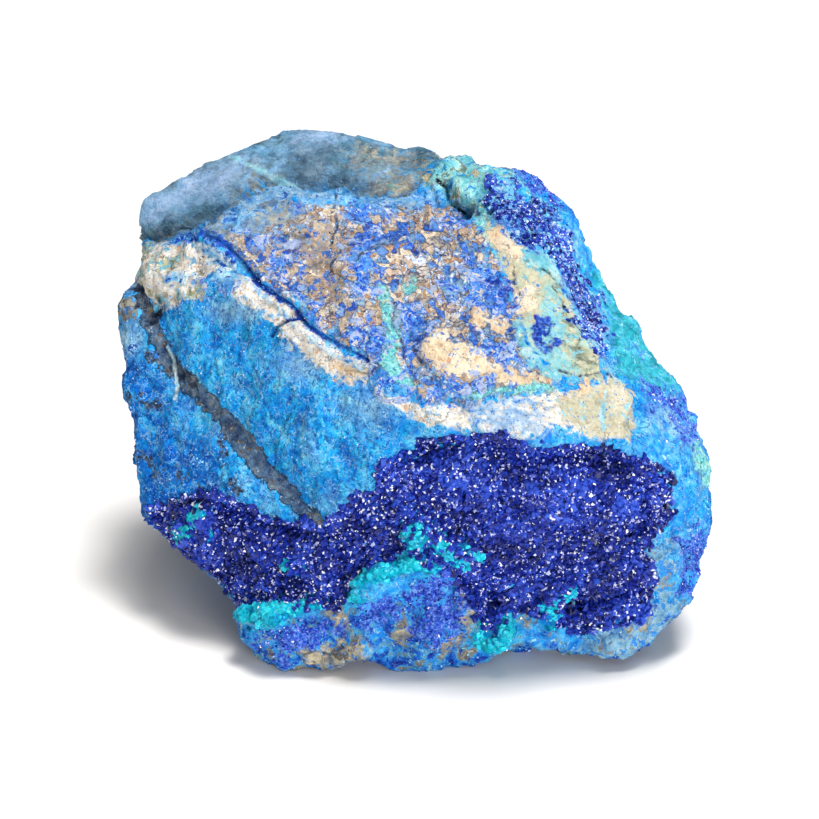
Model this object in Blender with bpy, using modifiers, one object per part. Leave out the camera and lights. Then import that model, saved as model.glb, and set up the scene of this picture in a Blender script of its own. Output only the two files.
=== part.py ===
"""Azurite with malachite: one loose hand specimen at its real size, in metres, +Z up.

X runs to the right of the stone's front, Y runs away from the viewer, and the origin is on the
surface that the stone rests on, under the middle of its box.

The broken blocks and ledges that the stone is made of are hulls of named corners, fused into one
body. A crust of azurite crystals lines the hollow along the front, as a node of its own.
"""

import math
import random

import bmesh
import bpy
import numpy as np
from mathutils import Vector, noise

MM = 0.001

# The front is described as an eye sees it that looks down on the stone. A corner or an outline
# there is (across, up), in mm on the plane through MIDDLE that faces the eye, and a corner also
# has a third number, how far it lies behind that plane.
EYE_ELEVATION = math.radians(25)
EYE_REACH = 320
MIDDLE = np.array((-0.3, -5.45, 27.0))
FORWARD = np.array((0.0, math.cos(EYE_ELEVATION), -math.sin(EYE_ELEVATION)))
RIGHT = np.array((1.0, 0.0, 0.0))
UPWARD = np.array((0.0, math.sin(EYE_ELEVATION), math.cos(EYE_ELEVATION)))
EYE = MIDDLE - EYE_REACH * FORWARD
TURNING_AWAY = 0.25   # front features fade out where a surface turns this far towards edge-on

# Corners of each broken block. "front" corners are (across, up, behind) as the eye sees them, and
# "rear" corners are (x, y, z) from the point on the ground under MIDDLE.
BLOCKS = {
    "lower_slab": {
        "front": [
            (-33.2, 20.6, 8), (-26.0, 22.0, 5), (-34.4, 15.6, 3), (-26.0, 16.6, -4),
            (-37.2, 10.5, 4), (-36.6, 3.0, 3), (-35.6, -2.6, 2), (-34.3, -11.5, 1.5),
            (-34.2, -15.0, 1.5), (-32.3, -18.0, 1), (-29.9, -20.3, 0.5), (-24.6, -23.4, -2),
            (-18.9, 14.5, -10.5), (-12.1, 8.7, -15), (-5.2, 4.0, -19.2), (-3.0, -5.0, -20.5),
            (0.5, -1.0, -22), (9.0, -3.8, -22.5), (18.0, -4.5, -22), (28.0, -4.5, -20),
            (33.5, -4.0, -13), (37.6, -4.8, -3), (35.9, -2.0, 1), (38.7, -10.0, -4),
            (38.8, -13.5, -4), (38.2, -17.3, -4), (37.0, -21.0, -4), (34.0, -12.0, -14),
            (33.0, -22.0, -10), (-14.0, -20.0, -10), (0.0, -24.0, -11), (28.0, -24.0, -11),
        ],
        "rear": [
            (-31, 18, 14), (-30, 22, 34), (-24, 27, 42), (0, 31, 38), (20, 27, 34),
            (-20, 20, 6), (22, 22, 5), (0, 26, 3), (33, 12, 14), (32, 14, 28),
        ],
    },
    "foot": {
        "front": [
            (-22.8, -24.5, -5), (-22.4, -29.4, -5.8), (-20.8, -33.4, -5.6), (-14.0, -34.4, -6),
            (2.0, -34.2, -6.4), (9.0, -33.1, -6.5), (27.6, -32.5, -6), (31.0, -31.0, -5.5),
            (34.1, -26.7, -5.5), (36.8, -21.5, -5), (-13.0, -21.0, -11), (0.0, -17.0, -15.5),
            (29.0, -18.0, -14),
        ],
        "rear": [
            (-17, 16, -0.6), (24, 15, -0.6), (0, 22, -0.6), (-19, 4, -0.6), (31, 2, -0.6),
            (0, 20, 20), (26, 14, 16), (-18, 14, 16),
        ],
    },
    "upper_slab": {
        "front": [
            (-29.3, 22.5, 0), (-24.6, 20.7, -5.5), (-18.6, 15.7, -10.8), (-11.8, 9.9, -15.6),
            (-4.8, 5.3, -19.8), (0.5, 0.6, -22.6), (8.0, -2.6, -23.3), (18.0, -3.3, -22.8),
            (28.0, -3.3, -20.4), (29.3, 1.5, -16), (-25.0, 24.3, -1), (-20.5, 26.4, -2),
            (-16.0, 28.2, -2.5), (-9.0, 28.3, -2.5), (0.0, 27.3, -2), (4.0, 27.0, -1.5),
            (9.0, 25.0, -2), (12.0, 18.0, -5.4), (19.0, 9.5, -9.6), (26.0, 3.6, -14),
        ],
        "rear": [(-20, 8, 34), (0, 12, 38), (14, 8, 34), (4, -8, 22), (20, -6, 20)],
    },
    "flank": {
        "front": [
            (2.6, 32.4, 11), (6.0, 32.8, 10), (10.0, 32.4, 9), (14.8, 32.0, 8), (18.2, 29.2, 8),
            (19.4, 26.4, 8.5), (20.2, 22.6, 9.5), (22.2, 16.4, 9), (25.8, 11.6, 8),
            (30.4, 8.2, 6), (34.4, 4.4, 4), (37.8, -2.0, 1), (4.5, 29.5, 3), (10.0, 27.5, 0),
            (14.0, 23.0, -2), (20.0, 12.0, -6.5), (24.5, 5.0, -11), (29.0, 2.0, -14),
            (32.0, -3.0, -14),
        ],
        "rear": [(4, 25, 44), (16, 24, 41), (25, 18, 32), (32, 14, 22), (8, 6, 30)],
    },
    "tan_knob": {
        "front": [
            (0.6, 9.2, -17.4), (2.0, 3.2, -22.0), (8.0, 2.4, -22.6), (14.2, 3.0, -21.6),
            (14.4, 8.2, -17.2), (7.6, 11.6, -15.4),
        ],
        "rear": [(5, -8, 30), (12, -8, 29)],
    },
    "saddle": {
        "front": [
            (-27.0, 21.0, 1), (-22.0, 22.0, 0), (-8.0, 24.5, -0.5), (4.0, 25.0, 0), (9.0, 26.5, 3),
            (4.0, 30.0, 9), (-26.0, 26.0, 12), (-8.0, 28.0, 12), (14.0, 26.0, 6),
        ],
        "rear": [(-24, 12, 30), (18, 12, 30), (-20, 28, 40), (16, 26, 41), (-4, 30, 44)],
    },
    "crest": {
        "front": [
            (0.0, 32.4, 14), (3.0, 32.2, 12), (6.0, 32.4, 10), (10.0, 31.6, 10), (2.0, 28.0, 5),
            (6.0, 28.4, 3), (12.0, 26.0, 2), (0.0, 29.0, 9),
        ],
        "rear": [(0, 24, 38), (14, 24, 38)],
    },
    "rear_ledge": {
        "front": [],
        "rear": [
            (-27, 24, 4), (-31, 22, 26), (-24, 31, 24), (-19, 28, 3), (2, 34, 22), (4, 30, 2),
            (16, 31, 24), (17, 26, 4), (-26, 22, 30), (14, 26, 30), (-10, 18, 2), (10, 18, 2),
        ],
    },
    "rear_right": {
        "front": [],
        "rear": [
            (12, 29, 38), (20, 26, 36), (25, 20, 33), (33, 12, 26), (35, 8, 12), (30, 20, 14),
            (24, 26, 18), (14, 30, 22), (31, 16, 5), (10, 10, 20),
        ],
    },
    "rear_dome": {
        "front": [
            (-34.0, 27.0, 12), (-34.6, 24.0, 12), (-34.8, 20.6, 10), (-31.0, 28.4, 13),
            (-28.1, 29.8, 14), (-24.0, 31.4, 15), (-20.4, 32.8, 15), (-16.2, 34.9, 16),
            (-13.6, 36.5, 16), (-10.8, 37.2, 16.5), (-7.6, 36.4, 17), (-4.0, 35.0, 17),
            (0.0, 33.4, 17), (4.0, 32.6, 15), (-32.0, 21.0, 7), (-26.0, 23.0, 6),
            (-20.0, 24.5, 6), (-10.0, 26.0, 7), (0.0, 28.0, 8),
        ],
        "rear": [(-27, 29, 40), (-5, 33, 43), (8, 30, 43), (-28, 24, 24), (0, 29, 24)],
    },
}

VOXEL = 0.9           # edge of the grid that fuses the blocks
SOFTENING = 0.5       # how far the broken edges are worn in each round
SOFTENING_ROUNDS = 5

# Relief that weather and cleavage give every surface: (size across, height), coarse to fine
RELIEF = [(14.0, 1.3), (6.0, 0.8), (2.6, 0.5)]

# The outline of the hollow that the azurite crystals line, round from its left end
HOLLOW = [
    (-33.6, -12.4), (-30.4, -12.1), (-26.0, -10.8), (-22.6, -11.8), (-18.0, -14.3), (-10.7, -15.0),
    (-8.5, -13.0), (-6.7, -11.1), (-4.2, -10.6), (-3.9, -6.7), (0.8, -4.2), (6.6, -3.3),
    (14.4, -5.0), (21.4, -4.8), (28.9, -5.8), (31.4, -6.7), (33.2, -9.5), (33.0, -13.5),
    (30.7, -17.0), (30.6, -21.3), (31.0, -24.4), (27.0, -27.3), (20.4, -27.8),
    (14.2, -24.1), (11.8, -26.6), (10.3, -28.1), (7.4, -23.4), (6.1, -20.8), (1.3, -17.9),
    (-0.4, -17.2), (-4.9, -20.0), (-7.5, -22.3), (-9.5, -24.9), (-17.5, -25.3), (-22.0, -25.0),
    (-24.4, -23.8), (-29.6, -20.8), (-34.0, -15.6),
]
HOLLOW_DEPTH = 2.6
HOLLOW_WALL = 0.9      # how far in from the outline the floor starts
CRUST_SURFACE = 0.5    # how far the crystals' roots lie below the rim
CRUST_THICKNESS = 1.3
CRUST_INSET = 1.5      # from the outline to the crust's edge

# Grooves: the weathered grey vein, the parting under the upper slab and the crevice at the crest
GROOVES = {
    "vein": {
        "line": [
            (-33.6, 15.0), (-31.9, 8.3), (-30.7, 4.0), (-27.5, 1.2), (-24.0, -2.6),
            (-20.4, -6.7), (-15.9, -10.6), (-11.7, -14.4),
        ],
        "half_width": 1.3,
        "depth": 1.0,
    },
    "parting": {
        "line": [
            (-29.1, 22.2), (-24.9, 20.4), (-21.7, 18.1), (-18.9, 15.3), (-15.3, 12.5),
            (-12.1, 9.5), (-8.3, 6.6), (-5.2, 4.8),
        ],
        "half_width": 0.9,
        "depth": 1.1,
    },
    "crevice": {
        "line": [(4.6, 27.8), (5.8, 26.4), (7.0, 25.2)],
        "half_width": 0.7,
        "depth": 1.2,
    },
}

# Plates that stand proud of the surface round them: their outlines and heights
PLATES = {
    "pale_slab": {
        "outline": [
            (9.0, 23.6), (12.2, 24.9), (16.7, 22.3), (19.3, 17.9), (22.5, 12.7), (24.4, 7.6),
            (24.4, 3.1), (19.9, 3.1), (17.3, 7.6), (14.1, 12.7), (12.6, 18.5), (11.0, 21.7),
        ],
        "height": 0.9,
    },
    "peach_patch": {
        "outline": [
            (1.1, 9.5), (2.6, 11.2), (5.8, 10.2), (9.0, 8.3), (8.8, 5.1), (5.2, 3.1), (2.4, 4.4),
        ],
        "height": 0.7,
    },
    "white_ledge": {
        "outline": [
            (-33.6, 20.0), (-29.4, 21.7), (-23.6, 18.9), (-18.9, 14.0), (-22.3, 14.0),
            (-28.1, 15.9), (-33.6, 14.6),
        ],
        "height": 0.9,
    },
}
PLATE_EDGE = 1.3   # width of the slope round a plate

# Malachite and rock lumps grown on the front: (across, up, radius, height)
LUMPS = [
    (-14.6, -29.6, 4.2, 0.9), (-6.6, -28.4, 3.4, 0.8), (4.2, -26.4, 3.2, 1.1),
    (12.0, -29.6, 2.8, 0.9), (26.4, -28.6, 3.4, 0.8), (-4.6, -24.6, 3.0, 0.6),
    (-26.6, -13.0, 1.9, 1.1), (-28.2, -15.6, 1.6, 1.0), (0.8, -16.2, 1.7, 1.2),
    (-4.0, -20.6, 1.8, 0.9), (-16.0, -26.2, 2.4, 1.0), (-20.0, -26.8, 2.0, 0.9),
    (18.4, -23.6, 1.7, 1.3), (11.8, -27.8, 1.8, 1.1), (6.6, -18.6, 1.6, 1.0),
]

# The band on the right flank whose faces rise to small azurite crystals
FLANK_BAND = [(10.8, 29.0), (14.0, 24.6), (18.0, 19.4), (21.0, 14.6), (23.6, 9.4)]
FLANK_BAND_HALF_WIDTH = 2.0
FLANK_CRYSTAL_HEIGHT = (0.3, 0.7)

# Arches under the front edge, between the points that it rests on: (x, half width, rise), in mm,
# and how far each reaches in under the stone
ARCHES = [(-7.5, 6.5, 2.2), (15.0, 9.5, 4.4), (-30.0, 6.0, 2.0)]
ARCH_REACH = 9.0
FRONT_EDGE = -27.0
FLATTENED_BELOW = 0.02   # what lies lower than this is part of the flat face it rests on

ROCK_TRIANGLES = 6200
CRUST_TRIANGLES = 620   # of the crust's face, before each becomes a crystal
CRYSTAL_HEIGHT = (0.5, 1.2)
CRYSTAL_LEAN = 0.2
CRUST_SEED = 7
FLANK_SEED = 3

ROCK_COLOUR = (0.16, 0.36, 0.66)
ROCK_ROUGHNESS = 0.8
AZURITE_COLOUR = (0.03, 0.05, 0.36)
AZURITE_ROUGHNESS = 0.25


def clear_scene():
    for obj in list(bpy.data.objects):
        bpy.data.objects.remove(obj)


def placed(across, up, behind):
    """The point that the eye sees at (across, up), this far behind the middle plane, in mm."""
    ray = EYE_REACH * FORWARD + across * RIGHT + up * UPWARD
    return EYE + ray * (EYE_REACH + behind) / EYE_REACH


def as_seen(points):
    """(across, up) of each point, as the eye sees it."""
    away = points - EYE
    depth = away @ FORWARD
    return EYE_REACH * np.stack([away @ RIGHT, away @ UPWARD], axis=1) / depth[:, None]


def add_hull(mesh, block):
    """Adds the convex hull of a block's corners to the bmesh, in mm."""
    under_middle = MIDDLE * (1, 1, 0)
    corners = [placed(*c) for c in block["front"]] + [under_middle + c for c in block["rear"]]
    made = [mesh.verts.new(c) for c in corners]
    found = bmesh.ops.convex_hull(mesh, input=made)
    inside = [v for v in found["geom_interior"] if isinstance(v, bmesh.types.BMVert)]
    bmesh.ops.delete(mesh, geom=inside, context="VERTS")


def evaluated(obj):
    """The object's mesh with its modifiers applied. The object is removed."""
    graph = bpy.context.evaluated_depsgraph_get()
    mesh = bpy.data.meshes.new_from_object(obj.evaluated_get(graph))
    bpy.data.objects.remove(obj)
    return mesh


def fused_body():
    """All blocks in one closed mesh of even faces, with worn edges."""
    hulls = bmesh.new()
    for block in BLOCKS.values():
        add_hull(hulls, block)
    mesh = bpy.data.meshes.new("body")
    hulls.to_mesh(mesh)
    hulls.free()
    obj = bpy.data.objects.new("body", mesh)
    bpy.context.scene.collection.objects.link(obj)
    remesh = obj.modifiers.new("fuse", "REMESH")
    remesh.mode = "VOXEL"
    remesh.voxel_size = VOXEL
    smooth = obj.modifiers.new("wear", "SMOOTH")
    smooth.factor = SOFTENING
    smooth.iterations = SOFTENING_ROUNDS
    return evaluated(obj)


def vertex_array(mesh, what="co"):
    values = np.empty(len(mesh.vertices) * 3)
    source = mesh.vertices if what == "co" else mesh.vertex_normals
    source.foreach_get("co" if what == "co" else "vector", values)
    return values.reshape(-1, 3)


def smooth_step(share):
    t = np.clip(share, 0, 1)
    return t * t * (3 - 2 * t)


def line_distance(points, line):
    """Distance of each 2D point from an open line."""
    line = np.array(line, float)
    nearest = np.full(len(points), np.inf)
    for a, b in zip(line[:-1], line[1:]):
        along = np.clip((points - a) @ (b - a) / ((b - a) @ (b - a)), 0, 1)
        gap = np.linalg.norm(points - a - along[:, None] * (b - a), axis=1)
        nearest = np.minimum(nearest, gap)
    return nearest


def inside_distance(points, outline):
    """Distance of each 2D point from a closed outline, positive inside it."""
    ring = np.array([*outline, outline[0]], float)
    inside = np.zeros(len(points), bool)
    for a, b in zip(ring[:-1], ring[1:]):
        crosses = (a[1] > points[:, 1]) != (b[1] > points[:, 1])
        rise = b[1] - a[1] if b[1] != a[1] else 1e-9
        at = a[0] + (points[:, 1] - a[1]) * (b[0] - a[0]) / rise
        inside ^= crosses & (points[:, 0] < at)
    return np.where(inside, 1, -1) * line_distance(points, ring)


def add_relief(points, normals):
    """Moves the points along their normals by layers of noise."""
    height = np.zeros(len(points))
    for size, rise in RELIEF:
        height += [rise * noise.noise(Vector(p / size)) for p in points - MIDDLE]
    return points + normals * height[:, None]


def facing_front(normals):
    """1 where a surface faces the eye, and 0 where it turns away."""
    return smooth_step(-(normals @ FORWARD) / TURNING_AWAY)


def carve_grooves(points, normals):
    front = facing_front(normals)
    seen = as_seen(points)
    for groove in GROOVES.values():
        gap = line_distance(seen, groove["line"])
        cut = groove["depth"] * smooth_step(1.5 - gap / groove["half_width"]) * front
        points = points - normals * cut[:, None]
    return points


def raise_plates(points, normals):
    front = facing_front(normals)
    seen = as_seen(points)
    for plate in PLATES.values():
        inside = smooth_step(0.5 + inside_distance(seen, plate["outline"]) / PLATE_EDGE)
        points = points + normals * (plate["height"] * inside * front)[:, None]
    return points


def grow_lumps(points, normals):
    front = facing_front(normals)
    seen = as_seen(points)
    for across, up, radius, height in LUMPS:
        gap = np.linalg.norm(seen - (across, up), axis=1)
        rise = height * np.sqrt(np.clip(1 - (gap / radius) ** 2, 0, 1)) * front
        points = points + normals * rise[:, None]
    return points


def rested(points):
    """The points with everything under the resting level brought up to it."""
    inward = smooth_step((points[:, 1] - FRONT_EDGE) / ARCH_REACH)
    level = np.zeros(len(points))
    for across, half_width, rise in ARCHES:
        span = 1 - smooth_step(np.abs(points[:, 0] - across) / half_width)
        level = np.maximum(level, rise * span * (1 - inward))
    return np.column_stack([points[:, :2], np.maximum(points[:, 2], level)])


def set_points(mesh, points):
    mesh.vertices.foreach_set("co", points.ravel())
    mesh.update()


def thinned(mesh, name, triangles):
    """The mesh with its flat stretches merged into larger faces, down to this many triangles."""
    obj = bpy.data.objects.new(name, mesh)
    bpy.context.scene.collection.objects.link(obj)
    mesh.calc_loop_triangles()
    thin = obj.modifiers.new("thin", "DECIMATE")
    thin.ratio = triangles / len(mesh.loop_triangles)
    return evaluated(obj)


def crust_mesh(body, surface, normals, depth_in):
    """The face of the crystal crust as an open sheet: the body's faces well inside the hollow."""
    sheet = bmesh.new()
    sheet.from_mesh(body)
    sheet.verts.ensure_lookup_table()
    for vert, point, normal in zip(sheet.verts, surface, normals):
        vert.co = point - normal * CRUST_SURFACE
    outside = [f for f in sheet.faces if min(depth_in[v.index] for v in f.verts) < CRUST_INSET]
    bmesh.ops.delete(sheet, geom=outside, context="FACES")
    pinched = [v for v in sheet.verts if sum(len(e.link_faces) == 1 for e in v.link_edges) > 2]
    bmesh.ops.delete(sheet, geom=pinched, context="VERTS")
    keep_largest(sheet)
    mesh = bpy.data.meshes.new("crust")
    sheet.to_mesh(mesh)
    sheet.free()
    return mesh


def keep_largest(sheet):
    """Deletes every loose patch of faces but the largest."""
    left = set(sheet.faces)
    patches = []
    while left:
        patch, edge = set(), [left.pop()]
        while edge:
            face = edge.pop()
            patch.add(face)
            near = {f for e in face.edges for f in e.link_faces} & left
            left -= near
            edge.extend(near)
        patches.append(patch)
    patches.sort(key=len)
    loose = [f for patch in patches[:-1] for f in patch]
    bmesh.ops.delete(sheet, geom=loose, context="FACES")
    bmesh.ops.delete(sheet, geom=[e for e in sheet.edges if not e.link_faces], context="EDGES")
    bmesh.ops.delete(sheet, geom=[v for v in sheet.verts if not v.link_faces], context="VERTS")


def raise_points(mesh, faces, heights, seed):
    """Raises each of the faces to a crystal's point that leans a little."""
    dice = random.Random(seed)
    for face in faces:
        normal = face.normal.copy()
        tip = bmesh.ops.poke(mesh, faces=[face])["verts"][0]
        lean = Vector([dice.uniform(-CRYSTAL_LEAN, CRYSTAL_LEAN) for _ in range(3)])
        tip.co += normal * dice.uniform(*heights) + lean


def add_back(plate, thickness):
    """Closes an open sheet into a plate with a back this far behind its front."""
    front = list(plate.faces)
    edges = [e for e in plate.edges if len(e.link_faces) == 1]
    backs = {v: plate.verts.new(v.co - v.normal * thickness) for v in list(plate.verts)}
    for face in front:
        plate.faces.new([backs[v] for v in reversed(face.verts)])
    for edge in edges:
        loop = edge.link_loops[0]
        a, b = loop.vert, loop.link_loop_next.vert
        plate.faces.new([b, a, backs[a], backs[b]])


def crystal_crust(mesh):
    """The sheet made a plate, with crystals all over its front."""
    plate = bmesh.new()
    plate.from_mesh(mesh)
    bmesh.ops.recalc_face_normals(plate, faces=plate.faces)
    bmesh.ops.triangulate(plate, faces=plate.faces)
    front = list(plate.faces)
    add_back(plate, CRUST_THICKNESS)
    raise_points(plate, front, CRYSTAL_HEIGHT, CRUST_SEED)
    plate.to_mesh(mesh)
    plate.free()
    return mesh


def grow_flank_crystals(mesh):
    """Small crystals on the faces of the flank's band."""
    body = bmesh.new()
    body.from_mesh(mesh)
    bmesh.ops.triangulate(body, faces=body.faces)
    centres = as_seen(np.array([f.calc_center_median() for f in body.faces]))
    gaps = line_distance(centres, FLANK_BAND)
    toward = [-Vector(FORWARD).dot(f.normal) for f in body.faces]
    chosen = [f for f, gap, t in zip(body.faces, gaps, toward)
              if gap < FLANK_BAND_HALF_WIDTH and t > 0]
    raise_points(body, chosen, FLANK_CRYSTAL_HEIGHT, FLANK_SEED)
    body.to_mesh(mesh)
    body.free()


def settle(mesh_list):
    """Brings the meshes from mm to metres, on the ground and centred on the origin."""
    every = np.concatenate([vertex_array(m) for m in mesh_list])
    low, high = every.min(axis=0), every.max(axis=0)
    shift = np.array((-(low[0] + high[0]) / 2, -(low[1] + high[1]) / 2, 0))
    for mesh in mesh_list:
        set_points(mesh, (vertex_array(mesh) + shift) * MM)


def finish(name, mesh, colour, roughness, collection):
    material = bpy.data.materials.new(name)
    material.use_nodes = True
    shader = material.node_tree.nodes["Principled BSDF"]
    shader.inputs["Base Color"].default_value = (*colour, 1)
    shader.inputs["Roughness"].default_value = roughness
    mesh.materials.clear()
    mesh.materials.append(material)
    mesh.name = name
    obj = bpy.data.objects.new(name, mesh)
    collection.objects.link(obj)
    return obj


def main():
    clear_scene()
    body = fused_body()
    normals = vertex_array(body, "normal")
    points = add_relief(vertex_array(body), normals)
    points = carve_grooves(points, normals)
    points = raise_plates(points, normals)
    points = grow_lumps(points, normals)

    # The hollow's floor lies behind the crust, with a gap between the two
    depth_in = inside_distance(as_seen(points), HOLLOW) * np.sign(facing_front(normals))
    floor = HOLLOW_DEPTH * smooth_step(depth_in / HOLLOW_WALL)
    crust = crust_mesh(body, points, normals, depth_in)
    points = points - normals * floor[:, None]
    set_points(body, rested(points))

    rock = thinned(body, "rock", ROCK_TRIANGLES)
    resting = vertex_array(rock)
    resting[resting[:, 2] < FLATTENED_BELOW, 2] = 0
    set_points(rock, resting)
    grow_flank_crystals(rock)
    druse = crystal_crust(thinned(crust, "sheet", CRUST_TRIANGLES))
    settle([rock, druse])

    collection = bpy.data.collections.new("azurite_with_malachite")
    bpy.context.scene.collection.children.link(collection)
    finish("host_rock", rock, ROCK_COLOUR, ROCK_ROUGHNESS, collection)
    finish("azurite_druse", druse, AZURITE_COLOUR, AZURITE_ROUGHNESS, collection)


main()
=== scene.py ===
import math

import bmesh
import bpy
import numpy as np
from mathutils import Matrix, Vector


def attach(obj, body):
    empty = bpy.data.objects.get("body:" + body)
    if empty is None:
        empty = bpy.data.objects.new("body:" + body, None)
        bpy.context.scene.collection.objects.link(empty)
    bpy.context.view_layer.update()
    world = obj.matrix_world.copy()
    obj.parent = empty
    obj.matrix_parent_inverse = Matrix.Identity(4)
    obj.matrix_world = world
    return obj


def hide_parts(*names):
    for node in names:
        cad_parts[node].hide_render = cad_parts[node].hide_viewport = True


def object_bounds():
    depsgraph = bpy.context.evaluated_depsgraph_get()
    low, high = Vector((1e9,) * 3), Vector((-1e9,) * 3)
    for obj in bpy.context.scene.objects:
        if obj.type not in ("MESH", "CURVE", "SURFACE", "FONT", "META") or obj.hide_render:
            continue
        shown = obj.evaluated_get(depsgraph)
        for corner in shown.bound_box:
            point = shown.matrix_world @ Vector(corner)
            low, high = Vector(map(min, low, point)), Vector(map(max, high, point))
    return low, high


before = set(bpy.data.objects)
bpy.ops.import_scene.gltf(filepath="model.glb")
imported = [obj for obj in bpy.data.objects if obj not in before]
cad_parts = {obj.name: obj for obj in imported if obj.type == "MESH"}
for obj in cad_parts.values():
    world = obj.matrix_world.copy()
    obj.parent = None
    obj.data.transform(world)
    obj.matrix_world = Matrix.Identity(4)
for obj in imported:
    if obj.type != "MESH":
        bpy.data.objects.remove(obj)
cad_box = [[float(c) for c in corner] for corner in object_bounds()]

MM = 0.001

# The photograph's eye: how far it looks down, how far it is from MIDDLE, the size of a pixel on the
# plane through MIDDLE, and the picture's side. Every place below is in the photograph's pixels.
ELEVATION = math.radians(25)
REACH = 320.0
PIXEL = 0.128
IMAGE = 819
CENTRE = IMAGE / 2
MIDDLE = np.array((-0.26, -5.58, 27.0))
FORWARD = np.array((0.0, math.cos(ELEVATION), -math.sin(ELEVATION)))
RIGHT = np.array((1.0, 0.0, 0.0))
UPWARD = np.array((0.0, math.sin(ELEVATION), math.cos(ELEVATION)))
EYE = MIDDLE - REACH * FORWARD

GRAIN = 0.28   # edge of the rock's fine faces, in mm
SHARE = 1.0   # share of the crystals that is made
SMOOTHING = 9                    # rounds that take the solid's facets away, for faces of 1 mm

# How far inside an outline a place is gets worked out up to MARGIN pixels round it. Farther away it
# is OUTSIDE, and the pieces store it within LIMIT.
MARGIN = 30
OUTSIDE = -60.0
LIMIT = 40
# How far edges wander, in pixels, and the size of that in mm
WANDER = 5.0
WANDER_SIZE = 4.5

# Outlines, each a list of x,y pairs
HOLLOW = [
    (149,511, 171,506, 190,500, 206,494, 233,502, 252,512, 269,521, 300,524, 326,527, 343,511, 357,496,
    377,492, 379,462, 400,462, 414,455, 418,443, 441,441, 494,437, 520,445, 547,449, 580,448, 604,453,
    630,457, 655,464, 671,478, 665,496, 671,515, 655,530, 643,541, 648,570, 653,600, 640,612, 620,623,
    595,628, 569,627, 545,618, 522,602, 515,612, 502,622, 490,629, 478,611, 462,590, 455,575, 430,560,
    406,545, 371,566, 351,584, 335,604, 300,608, 273,607, 243,609, 235,598, 215,585, 190,568, 165,545,
    150,520)]
MALACHITE = [
    (186,510, 194,504, 204,506, 207,514, 200,524, 189,522),
    (171,530, 180,524, 190,529, 192,540, 181,544, 173,538), (205,531, 212,533, 213,543, 206,545),
    (280,563, 288,559, 298,567, 296,573, 285,572),
    (237,612, 262,607, 275,601, 300,604, 322,600, 319,608, 300,613, 281,622, 272,626, 250,623, 240,619),
    (402,531, 412,523, 425,526, 430,535, 422,546, 410,548, 403,541),
    (427,537, 440,537, 450,545, 462,552, 471,566, 462,569, 450,562, 435,550),
    (460,545, 470,542, 485,555, 483,563, 472,558),
    (352,583, 357,573, 370,567, 390,565, 405,557, 416,551, 430,560, 442,565, 430,571, 412,567, 400,571,
    385,577, 368,583, 358,588), (351,594, 358,591, 363,598, 358,606, 352,602),
    (539,603, 548,598, 557,600, 563,610, 556,623, 548,625, 542,616),
    (560,588, 568,584, 575,592, 568,599, 562,596),
    (472,622, 482,617, 486,630, 495,640, 504,626, 502,615, 512,613, 513,628, 505,645, 490,651, 475,645)]
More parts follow.
